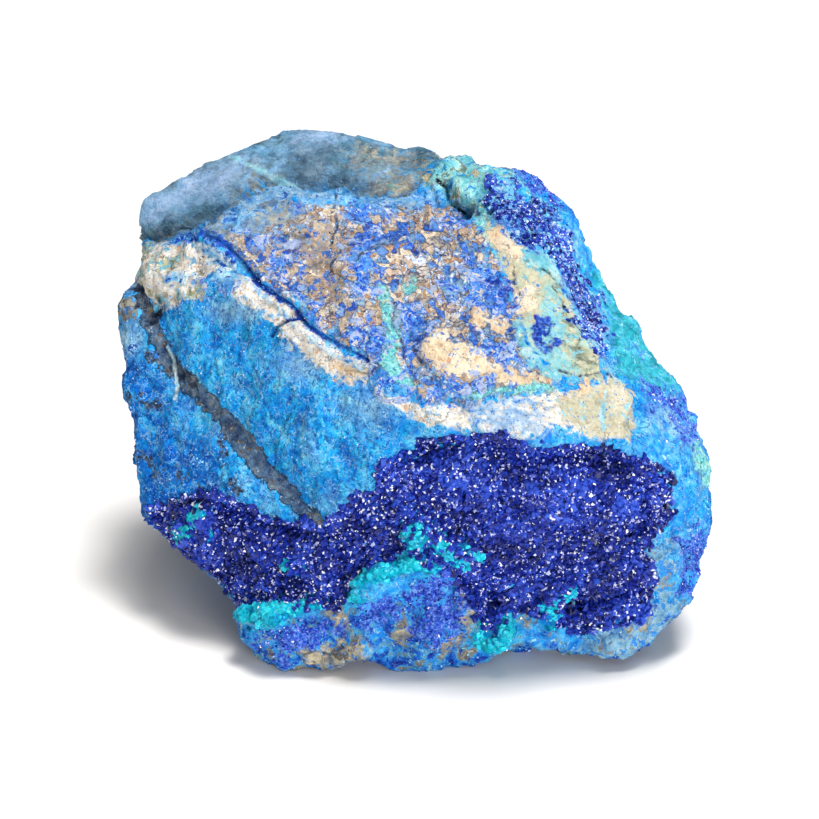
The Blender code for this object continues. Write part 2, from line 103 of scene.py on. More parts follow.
# What shows on the front alone: how far its edge wanders, and its outlines. Haze, tanned and creamy
# are parts of the mottled stone, lavender of the smooth back lobe, veiled and straw of the cream band,
# and aqua, olive and indigo of the pale slab. The darker grey patches at the foot of the smooth back
# lobe and in the saddle behind the mottled stone are painted shade. Edge is the mottled stone's raised
# rim, crest the turquoise lump on top, strip the cream strip below the crack, frost its pale crust, and
# ink the dark parts of the grey vein.
FRONT = {
    "haze": ("far", [
        (200,232, 214,222, 226,210, 238,203, 252,196, 268,195, 290,198, 296,212, 284,226, 272,238, 262,248,
        252,250, 244,240, 236,238, 222,244)]),
    "veiled": ("far", [
        (468,406, 500,404, 530,404, 548,412, 540,434, 505,436, 476,430),
        (590,398, 604,396, 606,430, 596,436, 590,415)]),
    # painted shade: darker grey at the foot of the smooth back lobe and in the saddle
    "painted_shade": ("far", [
        (278,168, 292,150, 322,138, 342,146, 340,168, 330,182, 300,186),
        (138,230, 168,220, 200,214, 222,212, 214,230, 185,236, 150,242),
        (322,184, 334,172, 352,169, 374,172, 382,184, 372,194, 340,192)]),
    "lavender": ("far", [
        (146,208, 168,190, 205,172, 240,158, 256,162, 236,180, 206,196, 176,208, 150,218),
        (300,132, 330,130, 346,138, 320,140, 296,142)]),
    "tanned": ("far", [
        (294,236, 318,224, 344,226, 360,240, 364,262, 350,280, 350,300, 336,314, 318,302, 304,280, 290,258),
        (256,216, 268,214, 272,234, 262,240), (256,250, 270,246, 284,262, 272,268),
        (374,206, 392,204, 402,212, 386,218)]),
    "creamy": ("far", [
        (308,296, 326,300, 334,314, 328,326, 316,322, 308,308),
        (306,208, 330,206, 345,212, 345,224, 330,228, 310,222),
        (258,212, 272,214, 276,238, 266,242, 258,228),
        (396,262, 420,258, 440,272, 438,292, 418,294, 400,284), (398,214, 430,212, 432,220, 402,222),
        (448,196, 468,192, 476,200, 464,210, 452,206)]),
    "crest": ("far", [
        (494,160, 512,166, 524,180, 532,194, 552,206, 550,211, 536,205, 526,203, 518,190, 512,179, 498,178),
        (424,168, 438,154, 458,148, 490,158, 516,166, 526,180, 532,202, 520,192, 506,176, 492,180, 487,200,
        488,222, 470,224, 455,208, 440,196, 428,184)]),
    "olive": ("far", [
        (556,342, 576,342, 594,352, 604,368, 596,374, 576,368, 560,356),
        (554,284, 562,290, 572,308, 579,328, 574,334, 562,318, 556,300),
        (124,250, 148,250, 152,262, 140,272, 126,268), (160,262, 178,258, 184,268, 170,275),
        (184,286, 204,284, 200,297, 184,300), (136,280, 158,285, 156,298, 144,295)]),
    "indigo": ("far", [
        (532,319, 546,317, 550,322, 545,330, 548,346, 540,345, 534,334),
        (557,342, 565,344, 563,351, 556,349), (493,279, 504,277, 513,290, 511,298, 500,291)]),
    "sky": ("far", [
        (562,206, 574,200, 590,216, 600,240, 596,262, 586,262, 577,240, 566,222),
        (356,588, 372,584, 392,576, 414,568, 430,572, 432,584, 414,596, 385,600, 368,598),
        (640,440, 660,420, 676,440, 686,470, 690,500, 680,524, 672,520, 664,498, 672,478, 656,462, 640,456),
        (410,432, 440,434, 475,434, 505,438, 540,438, 575,436, 605,444, 632,446, 640,458, 604,452, 570,446,
        540,448, 494,440, 445,440, 416,446),
        (520,624, 545,630, 566,626, 590,630, 596,640, 570,646, 535,644),
        (368,628, 382,624, 388,642, 380,656, 370,648)]),
    "straw": ("near", [
        (556,398, 575,390, 600,384, 611,378, 625,383, 633,400, 636,426, 629,442, 600,441, 578,434,
        562,420)]),
    "nodule": ("near", [
        (122,302, 132,298, 142,306, 138,318, 126,326, 121,316),
        (296,646, 320,640, 350,644, 364,655, 340,664, 306,664),
        (384,626, 402,622, 416,632, 410,646, 390,644), (326,612, 344,614, 346,630, 330,632),
        (352,640, 368,634, 378,648, 366,660, 352,654), (604,636, 628,632, 650,636, 630,652, 608,650),
        (424,640, 452,632, 466,644, 442,658), (542,624, 558,626, 560,638, 544,638),
        (516,612, 532,608, 540,620, 526,628, 514,622), (455,584, 470,594, 480,612, 470,612, 456,600),
        (318,606, 345,602, 348,614, 320,620), (355,588, 372,586, 376,598, 360,602),
        (622,624, 640,618, 652,628, 642,642, 626,644),
        (452,596, 462,590, 472,606, 476,626, 466,640, 456,622)]),
    "slab": ("near", [
        (478,223, 495,221, 505,231, 520,242, 540,253, 553,262, 562,280, 572,300, 583,322, 597,348, 605,370,
        598,382, 575,379, 560,375, 545,362, 530,348, 521,324, 512,300, 505,280, 500,262, 489,243)]),
    "aqua": ("near", [
        (522,247, 548,253, 556,262, 562,276, 552,280, 534,271, 524,262),
        (514,320, 522,326, 530,344, 545,361, 562,376, 550,380, 530,364, 518,346)]),
    "edge": ("near", [
        (228,214, 238,202, 252,192, 270,186, 286,185, 302,189, 325,192, 350,193, 380,194, 412,194, 440,190,
        448,198, 434,206, 410,208, 380,206, 345,205, 318,204, 298,201, 282,199, 266,206, 254,214, 244,224,
        236,232, 226,226)]),
    "frost": ("near", [
        (212,278, 220,271, 234,273, 246,267, 248,272, 238,280, 226,286, 214,284),
        (166,276, 180,273, 196,276, 188,282, 172,282), (118,330, 130,330, 136,344, 128,352, 118,346),
        (202,248, 216,245, 230,255, 237,266, 226,267, 212,259)]),
    "flank": ("near", [
        (490,181, 512,180, 520,192, 527,205, 545,207, 556,213, 562,226, 568,240, 574,254, 579,270, 588,286,
        597,300, 603,314, 607,332, 609,348, 600,350, 590,343, 582,328, 574,310, 566,288, 560,268, 550,252,
        530,246, 512,237, 500,226, 494,212, 489,198)]),
    "strip": ("near", [
        (236,276, 250,278, 262,292, 280,300, 292,312, 300,322, 315,336, 335,350, 352,360, 368,370, 364,379,
        345,379, 322,364, 300,348, 286,334, 272,322, 262,312, 250,300, 238,292)]),
    "ink": ("close", [
        (134,288, 146,288, 154,302, 160,320, 154,328, 147,318, 140,304),
        (172,366, 184,374, 196,384, 190,390, 176,380)]),
}
# What the sides have too: the same, with the size, height and level of the noise that places it there.
# Cream is the narrow ledge and the band over the druse, brown the saddle behind the mottled stone and
# the ledge's end, mint the thin turquoise seams, and violet and rim the stone round the druse.
ALL_ROUND = {
    "dome": ("far", 16, 14, 2, [
        (60,60, 330,60, 440,130, 452,150, 436,162, 424,172, 418,186, 405,196, 385,195, 370,190, 350,190,
        320,190, 300,186, 280,184, 265,187, 255,195, 240,200, 225,211, 212,224, 200,228, 180,232, 165,240,
        140,240, 100,235)]),
    "mottled": ("far", 11, 16, -5, [
        (228,214, 245,202, 262,194, 280,197, 310,200, 350,204, 385,204, 410,196, 440,194, 455,206, 470,222,
        482,226, 492,245, 502,262, 507,280, 514,300, 522,324, 532,348, 546,364, 562,378, 560,390, 520,398,
        490,403, 465,407, 440,405, 415,400, 400,392, 385,382, 372,366, 355,350, 330,337, 308,322, 298,312,
        290,300, 276,292, 262,282, 250,266, 238,254, 226,244, 212,236, 214,226)]),
    "cream": ("far", 8, 18, -9, [
        (126,246, 150,246, 185,243, 205,246, 216,251, 229,262, 236,272, 225,277, 206,276, 196,283, 206,290,
        198,300, 184,303, 165,308, 152,303, 143,292, 130,275),
        (372,382, 385,388, 400,396, 415,402, 440,407, 465,409, 490,405, 520,400, 550,395, 575,386, 600,386,
        611,379, 625,384, 631,400, 633,425, 628,441, 600,441, 575,433, 550,430, 525,437, 500,435, 475,431,
        445,431, 425,426, 405,413, 390,403, 374,389)]),
    "brown": ("far", 9, 18, -7, [
        (370,180, 384,172, 408,172, 422,180, 410,194, 376,190),
        (345,148, 400,150, 430,158, 424,170, 390,168, 350,166),
        (235,198, 250,180, 275,178, 262,190, 250,198),
        (120,250, 140,252, 152,268, 150,282, 134,290, 120,290), (150,236, 165,238, 168,246, 150,248),
        (178,273, 205,274, 196,283, 175,281)]),
    "peach": ("near", 5, 16, -10, [
        (332,356, 345,358, 360,366, 368,372, 362,379, 346,378, 336,370),
        (418,345, 428,334, 440,325, 448,338, 455,344, 468,344, 480,348, 492,356, 506,368, 524,372, 546,376,
        560,383, 540,388, 510,385, 490,379, 470,380, 450,378, 438,370, 426,360),
        (572,378, 588,378, 594,392, 580,394), (488,322, 496,317, 505,322, 504,333, 494,336),
        (466,310, 474,303, 484,308, 487,320, 480,328, 470,326),
        (510,286, 528,286, 536,300, 532,316, 520,314, 512,300),
        (485,224, 506,224, 518,240, 528,247, 520,263, 508,262, 496,246)]),
    "mint": ("near", 6, 16, -10, [
        (376,290, 384,282, 392,290, 390,306, 396,326, 404,342, 398,356, 404,372, 418,386, 408,392, 390,380,
        378,362, 384,350, 386,332, 380,312),
        (455,392, 480,390, 510,386, 540,384, 560,386, 545,392, 510,394, 480,398, 458,399),
        (404,280, 414,278, 416,290, 406,294), (470,210, 482,214, 484,226, 474,224),
        (688,438, 700,440, 712,470, 712,492, 702,484, 692,460)]),
    "blue": ("far", 5, 15, -6, [
        (302,300, 318,304, 314,320, 303,318), (274,262, 292,254, 300,262, 292,272, 276,270),
        (356,332, 372,328, 384,340, 380,356, 366,358, 356,346),
        (350,206, 372,208, 376,222, 360,224, 350,216), (376,200, 392,202, 390,214, 378,214),
        (352,232, 372,230, 376,256, 372,286, 354,286, 350,258),
        (404,304, 418,302, 428,322, 414,340, 420,362, 428,376, 414,378, 404,350),
        (468,262, 490,266, 506,280, 512,296, 498,290, 478,276),
        (468,284, 490,280, 512,302, 500,312, 484,306, 468,300),
        (424,366, 440,378, 460,384, 486,384, 470,394, 448,404, 430,396, 420,380),
        (374,374, 392,380, 412,390, 404,396, 384,388), (487,340, 508,348, 520,362, 508,366, 492,354),
        (246,226, 258,234, 262,246, 250,244), (452,216, 466,214, 470,226, 456,226),
        (440,286, 452,280, 452,296, 442,296), (205,282, 213,280, 228,280, 236,284, 228,290, 214,292)]),
    "violet": ("far", 6, 14, -8, [
        (512,164, 530,170, 550,180, 562,200, 566,214, 552,208, 545,200, 532,194, 524,180),
        (642,384, 662,388, 680,404, 692,428, 696,446, 684,440, 668,416, 648,400),
        (684,540, 700,524, 712,540, 700,568, 688,594, 680,590, 686,562),
        (404,600, 412,582, 425,575, 445,577, 458,592, 462,612, 455,636, 430,640, 410,630),
        (255,640, 275,626, 300,622, 320,620, 335,628, 318,640, 296,648, 285,662, 268,655),
        (352,606, 372,598, 395,600, 402,612, 385,622, 360,622),
        (600,596, 625,590, 645,600, 636,618, 610,620)]),
    "teal": ("far", 9, 14, -10, [
        (590,256, 602,268, 616,290, 640,320, 665,346, 700,392, 676,394, 650,386, 634,384, 618,366, 610,348,
        606,324, 598,298, 590,280)]),
    "rim": ("far", 7, 14, -3, [
        (646,548, 668,544, 690,556, 684,580, 668,600, 676,618, 664,640, 645,640, 650,606, 648,570),
        (580,628, 620,630, 655,612, 660,645, 625,664, 585,658, 565,650),
        (548,626, 566,630, 574,645, 552,648)]),
}
# Lines on the front: how far each wanders, its half width and its points
STROKES = {
    "lip": [
        ("close", 2.4, (196,242, 210,246, 222,254, 232,264, 241,275, 250,285, 260,295, 272,303, 284,311,
        292,322, 301,332, 312,340, 324,347, 336,354, 349,361, 362,368))],
    "bright": [("near", 5.0, (178,241, 190,237, 203,235, 215,240, 226,247, 236,258))],
    "crack": [
        ("close", 2.8, (203,234, 216,239, 228,247, 237,258, 246,268, 254,277, 263,287, 275,296, 288,303,
        297,315, 305,325, 316,333, 328,340, 340,347, 353,353, 366,360)),
        ("close", 1.4, (299,317, 287,321, 277,327, 270,336))],
    "speckled": [
        ("near", 2.4, (124,396, 138,400, 152,404, 164,408)), ("near", 3.0, (140,456, 150,460, 156,470)),
        ("near", 2.6, (146,356, 158,350, 168,346)), ("near", 2.4, (124,292, 127,300, 124,308)),
        ("near", 3.5, (178,470, 184,484, 196,492)), ("near", 1.8, (222,440, 228,470, 240,490))],
    # a pale streak down the grey vein, painted as light as its lit edge: partly pale stone, partly painted
    # highlight
    "pale": [("close", 1.7, (167,347, 172,357, 173,364, 174,377, 176,387, 174,398))],
    "streak": [
        ("near", 1.9, (219,152, 245,164, 272,176, 300,187)), ("close", 1.5, (604,394, 602,410, 604,430)),
        ("close", 1.6, (548,256, 560,274, 571,293, 580,313, 588,332, 598,350))],
    "dark": [
        ("near", 1.1, (447,198, 455,205, 462,211, 470,219)), ("near", 1.5, (438,180, 443,186, 448,196)),
        ("near", 0.8, (538,266, 548,272, 558,281, 566,292))],
    "fine_dark": [
        ("near", 0.7, (335,196, 333,212, 338,228, 332,244, 336,258, 330,268)),
        ("near", 0.8, (356,262, 366,252, 380,246, 392,248)),
        ("near", 0.9, (388,288, 396,306, 392,324, 402,344, 408,362, 418,384)),
        # along the peach flake's lower left step: painted shadow
        ("near", 0.9, (412,345, 418,356, 426,368, 438,378)),
        ("near", 0.7, (508,246, 515,262, 512,280, 520,296)),
        ("near", 1.2, (355,588, 372,582, 392,577, 412,571)),
        ("near", 1.0, (300,655, 316,648, 330,652, 344,644)),
        ("near", 1.0, (560,370, 580,376, 600,372, 612,376))],
}
# The grey vein's points, each with its half width
GREY_VEIN = [
    (139, 288, 4), (145, 302, 6.5), (151, 322, 8), (157, 342, 8), (165, 361, 8), (187, 383, 8.5),
    (206, 400, 8), (224, 419, 6.5), (233, 430, 9), (243, 443, 10.5), (254, 459, 10),
    (264, 470, 9.5), (276, 481, 8), (295, 500, 6.5), (306, 512, 7.5), (318, 521, 8),
]
# Rows and columns of the picture: where the base begins, and where the front's mesh is parted
BASE_TOP = 585
PARTING = 400
# The blue is deeper left of this point of the vein, below this row, and on the base from this one on
VEIN_POINT = (200, 400)
DEEP_TOP = 300
DEEP_BASE = 590
# Pale veils over the blue: the middle, the reach across and down, the strength, and the least part of
# the way that a surface faces the eye. The one at the right rim is painted light: it makes that side
# paler, as if more light fell on it.
PALE_VEILS_AND_PAINTED_LIGHT = [
    ((372, 405), (75, 34), 0.6, 0), ((668, 425), (40, 50), 0.9, -0.1), ((131, 338), (22, 36), 0.8, 0),
    ((235, 312), (60, 22), 0.8, 0), ((300, 365), (40, 30), 0.7, 0),
]
# Lighter and darker places of the druse: the middle, the reach across and down, and the change
DRUSE_TONE = 0.46
DRUSE_TONES = [
    ((500, 485), (130, 60), 0.2), ((255, 560), (110, 60), -0.14), ((615, 570), (60, 50), -0.14),
]


def pairs(flat):
    return np.array(flat, float).reshape(-1, 2)


def seen(points):
    """Where the photograph's eye sees each point (in mm), in pixels."""
    away = points - EYE
    scale = REACH / PIXEL / (away @ FORWARD)
    return np.stack([CENTRE + away @ RIGHT * scale, CENTRE - away @ UPWARD * scale], axis=1)


def towards_eye(outward):
    """How squarely each surface faces the eye, from 1 to -1 where it faces away."""
    return -(outward @ FORWARD)


def from_spot(at, spot):
    return np.linalg.norm(at - spot, axis=1)


def from_line(at, line):
    line = pairs(line)
    nearest = np.full(len(at), np.inf)
    for a, b in zip(line[:-1], line[1:]):
        along = np.clip((at - a) @ (b - a) / ((b - a) @ (b - a)), 0, 1)
        gap = np.linalg.norm(at - a - along[:, None] * (b - a), axis=1)
        nearest = np.minimum(nearest, gap)
    return nearest


def inside(at, outlines):
    """How far inside the nearest outline each place is, in pixels. It is negative outside."""
    best = np.full(len(at), OUTSIDE)
    for outline in outlines:
        ring = pairs(outline)
        low, high = ring.min(axis=0) - MARGIN, ring.max(axis=0) + MARGIN
        near = np.where(((at > low) & (at < high)).all(axis=1))[0]
        if not len(near):
            continue
        p = at[near]
        closed = np.concatenate([ring, ring[:1]])
        within = np.zeros(len(near), bool)
        for a, b in zip(closed[:-1], closed[1:]):
            crosses = (a[1] > p[:, 1]) != (b[1] > p[:, 1])
            x = a[0] + (p[:, 1] - a[1]) * (b[0] - a[0]) / (b[1] - a[1] or 1e-9)
            within ^= crosses & (p[:, 0] < x)
        deep = np.where(within, 1, -1) * from_line(p, closed.ravel())
        best[near] = np.maximum(best[near], deep)
    return best


def around(at, middle, reach):
    """From 1 at a middle to 0 at its reach across and down."""
    return step(1 - np.hypot(*((at - middle) / reach).T))


def on_band(at, stops):
    """As inside(), for a band whose half width changes from stop to stop."""
    best = np.full(len(at), OUTSIDE)
    for (ax, ay, aw), (bx, by, bw) in zip(stops[:-1], stops[1:]):
        a, b = np.array((ax, ay)), np.array((bx, by))
        along = np.clip((at - a) @ (b - a) / ((b - a) @ (b - a)), 0, 1)
        gap = np.linalg.norm(at - a - along[:, None] * (b - a), axis=1)
        best = np.maximum(best, aw + (bw - aw) * along - gap)
    return best


def step(share):
    """Smoothly from 0 to 1."""
    t = np.clip(share, 0, 1)
    return t * t * (3 - 2 * t)


class Grain:
    """Smooth noise from a seed."""

    def __init__(self, seed):
        dice = np.random.default_rng(seed)
        order = dice.permutation(256)
        self.order = np.concatenate([order, order, order])
        slopes = dice.normal(size=(256, 3))
        self.slopes = slopes / np.linalg.norm(slopes, axis=1)[:, None]

    def corner(self, x, y, z):
        order = self.order
        return order[order[order[x & 255] + (y & 255)] + (z & 255)]

    def smooth(self, points, size):
        """About -1 to 1."""
        places = [np.ascontiguousarray(column) / size for column in points.T]
        cells = [np.floor(place).astype(int) for place in places]
        parts = [place - cell for place, cell in zip(places, cells)]
        fades = [f * f * f * (f * (f * 6 - 15) + 10) for f in parts]
        slopes = np.ascontiguousarray(self.slopes.T)
        total = np.zeros(len(points))
        for offset in np.ndindex(2, 2, 2):
            code = self.corner(*(cell + k for cell, k in zip(cells, offset)))
            share, lean = 1.0, 0.0
            for part, fade, slope, k in zip(parts, fades, slopes, offset):
                share = share * (fade if k else 1 - fade)
                lean = lean + (part - k) * slope[code]
            total += share * lean
        return total * 1.7

    def rough(self, points, size, layers=4, fall=0.5):
        total, height = np.zeros(len(points)), 1.0
        for layer in range(layers):
            total += height * self.smooth(points + 17.3 * layer, size / 2 ** layer)
            height *= fall
        return total

    def ridged(self, points, size, layers=3):
        total, height = np.zeros(len(points)), 1.0
        for layer in range(layers):
            total += height * (1 - 2 * np.abs(self.smooth(points + 9.1 * layer, size / 2 ** layer)))
            height *= 0.5
        return total

    def cells(self, points, size):
        """Distances to the nearest and next nearest scattered point, its number and the way to it."""
        p = points / size
        base = np.floor(p).astype(int)
        first, second = np.full(len(p), 9.0), np.full(len(p), 9.0)
        number = np.zeros(len(p), int)
        way = np.zeros(p.shape)
        for x, y, z in np.ndindex(3, 3, 3):
            cell = base + (x - 1, y - 1, z - 1)
            code = self.corner(*cell.T)
            away = cell + 0.5 + 0.42 * self.slopes[code] - p
            gap = np.linalg.norm(away, axis=1)
            closer = gap < first
            second = np.where(closer, first, np.minimum(second, gap))
            number = np.where(closer, code, number)
            way[closer] = away[closer]
            first = np.minimum(first, gap)
        return first, second, number, way

    def facets(self, points, size):
        """Broken faces: a plane of its own tilt round each scattered point, about -1 to 1."""
        number, way = self.cells(points, size)[2:]
        return 2 * (self.slopes[(number * 7 + 3) % 256] * way).sum(axis=1)


def linked(name, data):
    """A new object in the scene."""
    obj = bpy.data.objects.new(name, data)
    bpy.context.scene.collection.objects.link(obj)
    return obj


def vertex_values(mesh, normals=False):
    values = np.empty(len(mesh.vertices) * 3, np.float32)
    source = mesh.vertex_normals if normals else mesh.vertices
    source.foreach_get("vector" if normals else "co", values)
    return values.reshape(-1, 3).astype(float)


def relaxed(points, edges, rounds, share=None):
    """The points drawn towards the mean of their neighbours, each by its share."""
    count = np.bincount(edges.ravel(), minlength=len(points))[:, None]
    share = 0.5 if share is None else 0.5 * share[:, None]
    for _ in range(rounds):
        total = np.stack([
            np.bincount(edges[:, 0], points[edges[:, 1], k], len(points))
            + np.bincount(edges[:, 1], points[edges[:, 0], k], len(points)) for k in range(3)
        ], axis=1)
        points = points + share * (total / count - points)
    return points


def normals_of(mesh, points):
    mesh.vertices.foreach_set("co", (points * MM).astype(np.float32).ravel())
    mesh.update()
    return vertex_values(mesh, normals=True)


# The groove, in pixels, and the hollow's outline and floor, in mm on the plane through MIDDLE, as
# the CAD has them
CAD_GROOVE = [
    (128, 293, 6), (149, 318, 9), (165, 366, 8), (204, 406, 9.5), (240, 448, 12), (275, 481, 9.5),
    (304, 512, 10), (318, 521, 8),
]
CAD_HOLLOW = [
    (-33.6, -12.4), (-30.4, -12.1), (-26.0, -10.8), (-22.6, -11.8), (-18.0, -14.3), (-10.7, -15.0),
    (-8.5, -13.0), (-6.7, -11.1), (-4.2, -10.6), (-3.9, -6.7), (0.8, -4.2), (6.6, -3.3),
    (14.4, -5.0), (21.4, -4.8), (28.9, -5.8), (31.4, -6.7), (33.2, -9.5), (33.0, -13.5),
    (30.7, -17.0), (30.6, -21.3), (31.0, -24.4), (27.0, -27.3), (20.4, -27.8), (14.2, -24.1),
    (11.8, -26.6), (10.3, -28.1), (7.4, -23.4), (6.1, -20.8), (1.3, -17.9), (-0.4, -17.2),
    (-4.9, -20.0), (-7.5, -22.3), (-9.5, -24.9), (-17.5, -25.3), (-22.0, -25.0), (-24.4, -23.8),
    (-29.6, -20.8), (-34.0, -15.6),
]
CAD_HOLLOW_DEPTH = 2.6
CAD_HOLLOW_WALL = 0.9
DRUSE_RECESS = 0.5
# How much of the groove and of the crack is filled up, in mm
GROOVE_FILL = 0.6
CRACK_FILL = 0.8
# Where the form stands out from the solid's or falls short of it: a place and reach in pixels, and mm
SWELLS = [
    ((150, 198), 50, 0.8), ((572, 182), 42, -1.5), ((616, 290), 80, -1.8), ((664, 358), 50, -1.7),
    ((704, 408), 34, -1.6), ((160, 552), 46, -2.0), ((236, 606), 36, -1.0), ((566, 214), 20, 0.8),
    ((244, 650), 26, -1.3), ((212, 582), 28, -0.8), ((652, 346), 18, -0.9),
]

grain = Grain(11)


def fine_rock():
    """The rock's body in fine even faces, with the hollow's floor brought up to the crystals' roots."""
    holder = linked("holder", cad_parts["host_rock"].data.copy())
    remesh = holder.modifiers.new("fine", "REMESH")
    remesh.mode = "VOXEL"
    remesh.voxel_size = GRAIN * MM
    mesh = bpy.data.meshes.new_from_object(
        holder.evaluated_get(bpy.context.evaluated_depsgraph_get()))
    bpy.data.objects.remove(holder)
    edges = np.empty(len(mesh.edges) * 2, np.int32)
    mesh.edges.foreach_get("vertices", edges)
    edges = edges.reshape(-1, 2)
    points = vertex_values(mesh) / MM
    rounds = int(round(SMOOTHING / GRAIN))

    outward = normals_of(mesh, relaxed(points, edges, rounds))
    facing = towards_eye(outward)
    ring = np.array(CAD_HOLLOW) * (1, -1) / PIXEL + CENTRE
    depth_in = inside(seen(points), [ring.ravel()]) * PIXEL
    front = step(facing / 0.15)
    lift = CAD_HOLLOW_DEPTH * step(depth_in / CAD_HOLLOW_WALL) * front
    points = points + outward * lift[:, None]
    points = relaxed(points, edges, rounds, step((depth_in + 1.0) / 0.8) * front)
    at = seen(points)
    front = step(towards_eye(outward) / 0.25)
    _, _, crack = STROKES["crack"][0]
    filled = GROOVE_FILL * step(0.5 + on_band(at, CAD_GROOVE) / 12) + CRACK_FILL * step(
        1.4 - from_line(at, crack) / 9)
    points = points + outward * (np.minimum(filled, CRACK_FILL) * front)[:, None]
    swell = sum(by * step(1 - from_spot(at, spot) / reach) for spot, reach, by in SWELLS)
    points = points + outward * swell[:, None]
    points = relaxed(points, edges, rounds // 2)
    outward = normals_of(mesh, relaxed(points, edges, 4))
    return mesh, points, outward


def regions_of(points, outward):
    """How far inside each kind of surface a point is, in pixels. It is negative outside."""
    exact = seen(points)
    far = exact + WANDER * np.stack([
        grain.rough(points + shift, WANDER_SIZE, 4, 0.6) for shift in (40, 80)], axis=1)
    at = {"far": far, "near": exact + 0.4 * (far - exact), "close": exact + 0.2 * (far - exact)}
    facing = towards_eye(outward)
    front = step(inside(exact, HOLLOW) / 4) * (points[:, 1] < -6) * (outward[:, 2] > -0.6)
    turned = (1 - step((facing + 0.12) / 0.1)) * (1 - front)
    unseen = turned > 0

    def on_front(value):
        return (1 - turned) * value - turned * MARGIN

    region = {name: on_front(inside(at[wander], rings)) for name, (wander, rings) in FRONT.items()}
    for name, strokes in STROKES.items():
        region[name] = on_front(np.maximum.reduce([
            half_width - from_line(at[wander], line) for wander, half_width, line in strokes]))
    for name, (wander, size, height, level, rings) in ALL_ROUND.items():
        region[name] = (1 - turned) * inside(at[wander], rings)
        away = grain.rough(points[unseen] + size * 7.7, 1.5 * size, 3)
        region[name][unseen] += turned[unseen] * (2 * height * away + 2 * level)

    # the smooth lobe goes on over the back, and the turquoise over the right side
    region["dome"] += turned * (16 * step((points[:, 1] + 4) / 14) - 12)
    region["teal"] += turned * 12 * step((points[:, 0] - 5) / 18)

    # the regions that others are part of, and the ones with their own outlines
    region["cream"] = np.maximum(region["cream"], region.pop("strip") + 3)
    region["vein"] = on_front(on_band(at["close"], GREY_VEIN))
    region["hollow"] = on_front(inside(at["close"], HOLLOW))
    region["malachite"] = (1 - turned) * (inside(at["close"], MALACHITE) + 1.2) + turned * (
        28 * grain.rough(points + 34, 6.5, 3) - 27)
    region["halo"] = region["malachite"] + 5
    region["low"] = (1 - turned) * step((exact[:, 1] - BASE_TOP) / 30) * (
        1 - step(0.5 + region["hollow"] / 8))
    return region


def add_relief(points, outward, region):
    """The fine relief of each kind of surface, its sizes and heights in mm."""
    def part(name, soft=4.0):
        return step(0.5 + region[name] / (2 * soft))

    rise = 0.30 * grain.rough(points, 5.0, 5, 0.55)
    rise += 0.07 * grain.ridged(points, 1.6, 3)
    bent = points + 0.5 * grain.rough(points, 3.0, 3)[:, None]
    broken = 0.30 * grain.facets(bent, 7.0) + 0.16 * grain.facets(bent + 31, 3.2)
    curled = points + 0.35 * grain.rough(points, 2.0, 2)[:, None]
    near, nearer, code, _ = grain.cells(curled, 2.1)
    flakes = (code / 255 - 0.5) * step((nearer - near) / 0.25)
    near_small, _, code_small, _ = grain.cells(points, 0.8)
    bumps = 0.5 - near_small + 0.5 * (code_small / 255 - 0.5)
    near_large = grain.cells(points, 4.2)[0]
    knobs = step(1.1 - near_large * 1.5)
    layers = grain.ridged(points * (0.4, 0.4, 2.2), 2.4, 3)
    mottled = part("mottled")
    slab = part("slab")
    vein = part("vein", 3)
    druse = part("hollow", 3)
    cream = part("cream")
    green = part("malachite", 3)
    knobby = np.maximum(part("crest"), part("teal"))
    dome = part("dome")
    earthy = (1 - mottled) * (1 - slab) * (1 - vein) * (1 - druse) * (1 - 0.8 * dome)
    calm = np.maximum(0.6 * dome, 0.55 * step(towards_eye(outward) / 0.3) * (1 - mottled))
    rise += broken * (1 - druse) * (1 - green) * (1 - 0.7 * slab) * (1 - calm)
    rise += mottled * (0.45 * flakes + 0.16 * bumps)
    rise += slab * (0.2 * flakes - 0.08 * grain.ridged(points, 1.6, 3))
    rise += vein * (-0.3 + 0.1 * grain.ridged(points, 0.9, 3) + 0.12 * flakes)
    rise += earthy * (0.14 * bumps + 0.2 * flakes)
    rise += cream * 0.16 * layers
    rise += knobby * (0.9 * knobs - 0.4 + 0.2 * bumps)
    rise += np.maximum(part("rim"), region["low"]) * (0.9 * knobs - 0.4 + 0.3 * flakes)
    rise -= 1.1 * part("dome", 3) * (1 - step(region["dome"] / 16))
    rise -= 0.8 * part("crack", 2.5)
    rise -= 0.6 * part("dark", 2.5)
    rise -= 0.2 * part("fine_dark", 2)
    rise += 0.25 * part("lip", 3)
    rise += part("nodule", 3) * (0.5 + 0.2 * bumps)
    rise += green * (0.75 + 0.16 * bumps + 0.3 * flakes + 0.2 * grain.ridged(points, 2.2, 3))
    rise -= DRUSE_RECESS * druse
    return points + outward * rise[:, None]


def rested(points):
    """The points, none of them below the floor or outside the solids' box."""
    return np.clip(points, *(np.array(corner) / MM for corner in cad_box))


def plain_colour(code):
    """The linear colour of a written one, such as 2E8FE0."""
    parts = [int(code[k:k + 2], 16) / 255 for k in (0, 2, 4)]
    return (*[c / 12.92 if c < 0.04045 else ((c + 0.055) / 1.055) ** 2.4 for c in parts], 1)


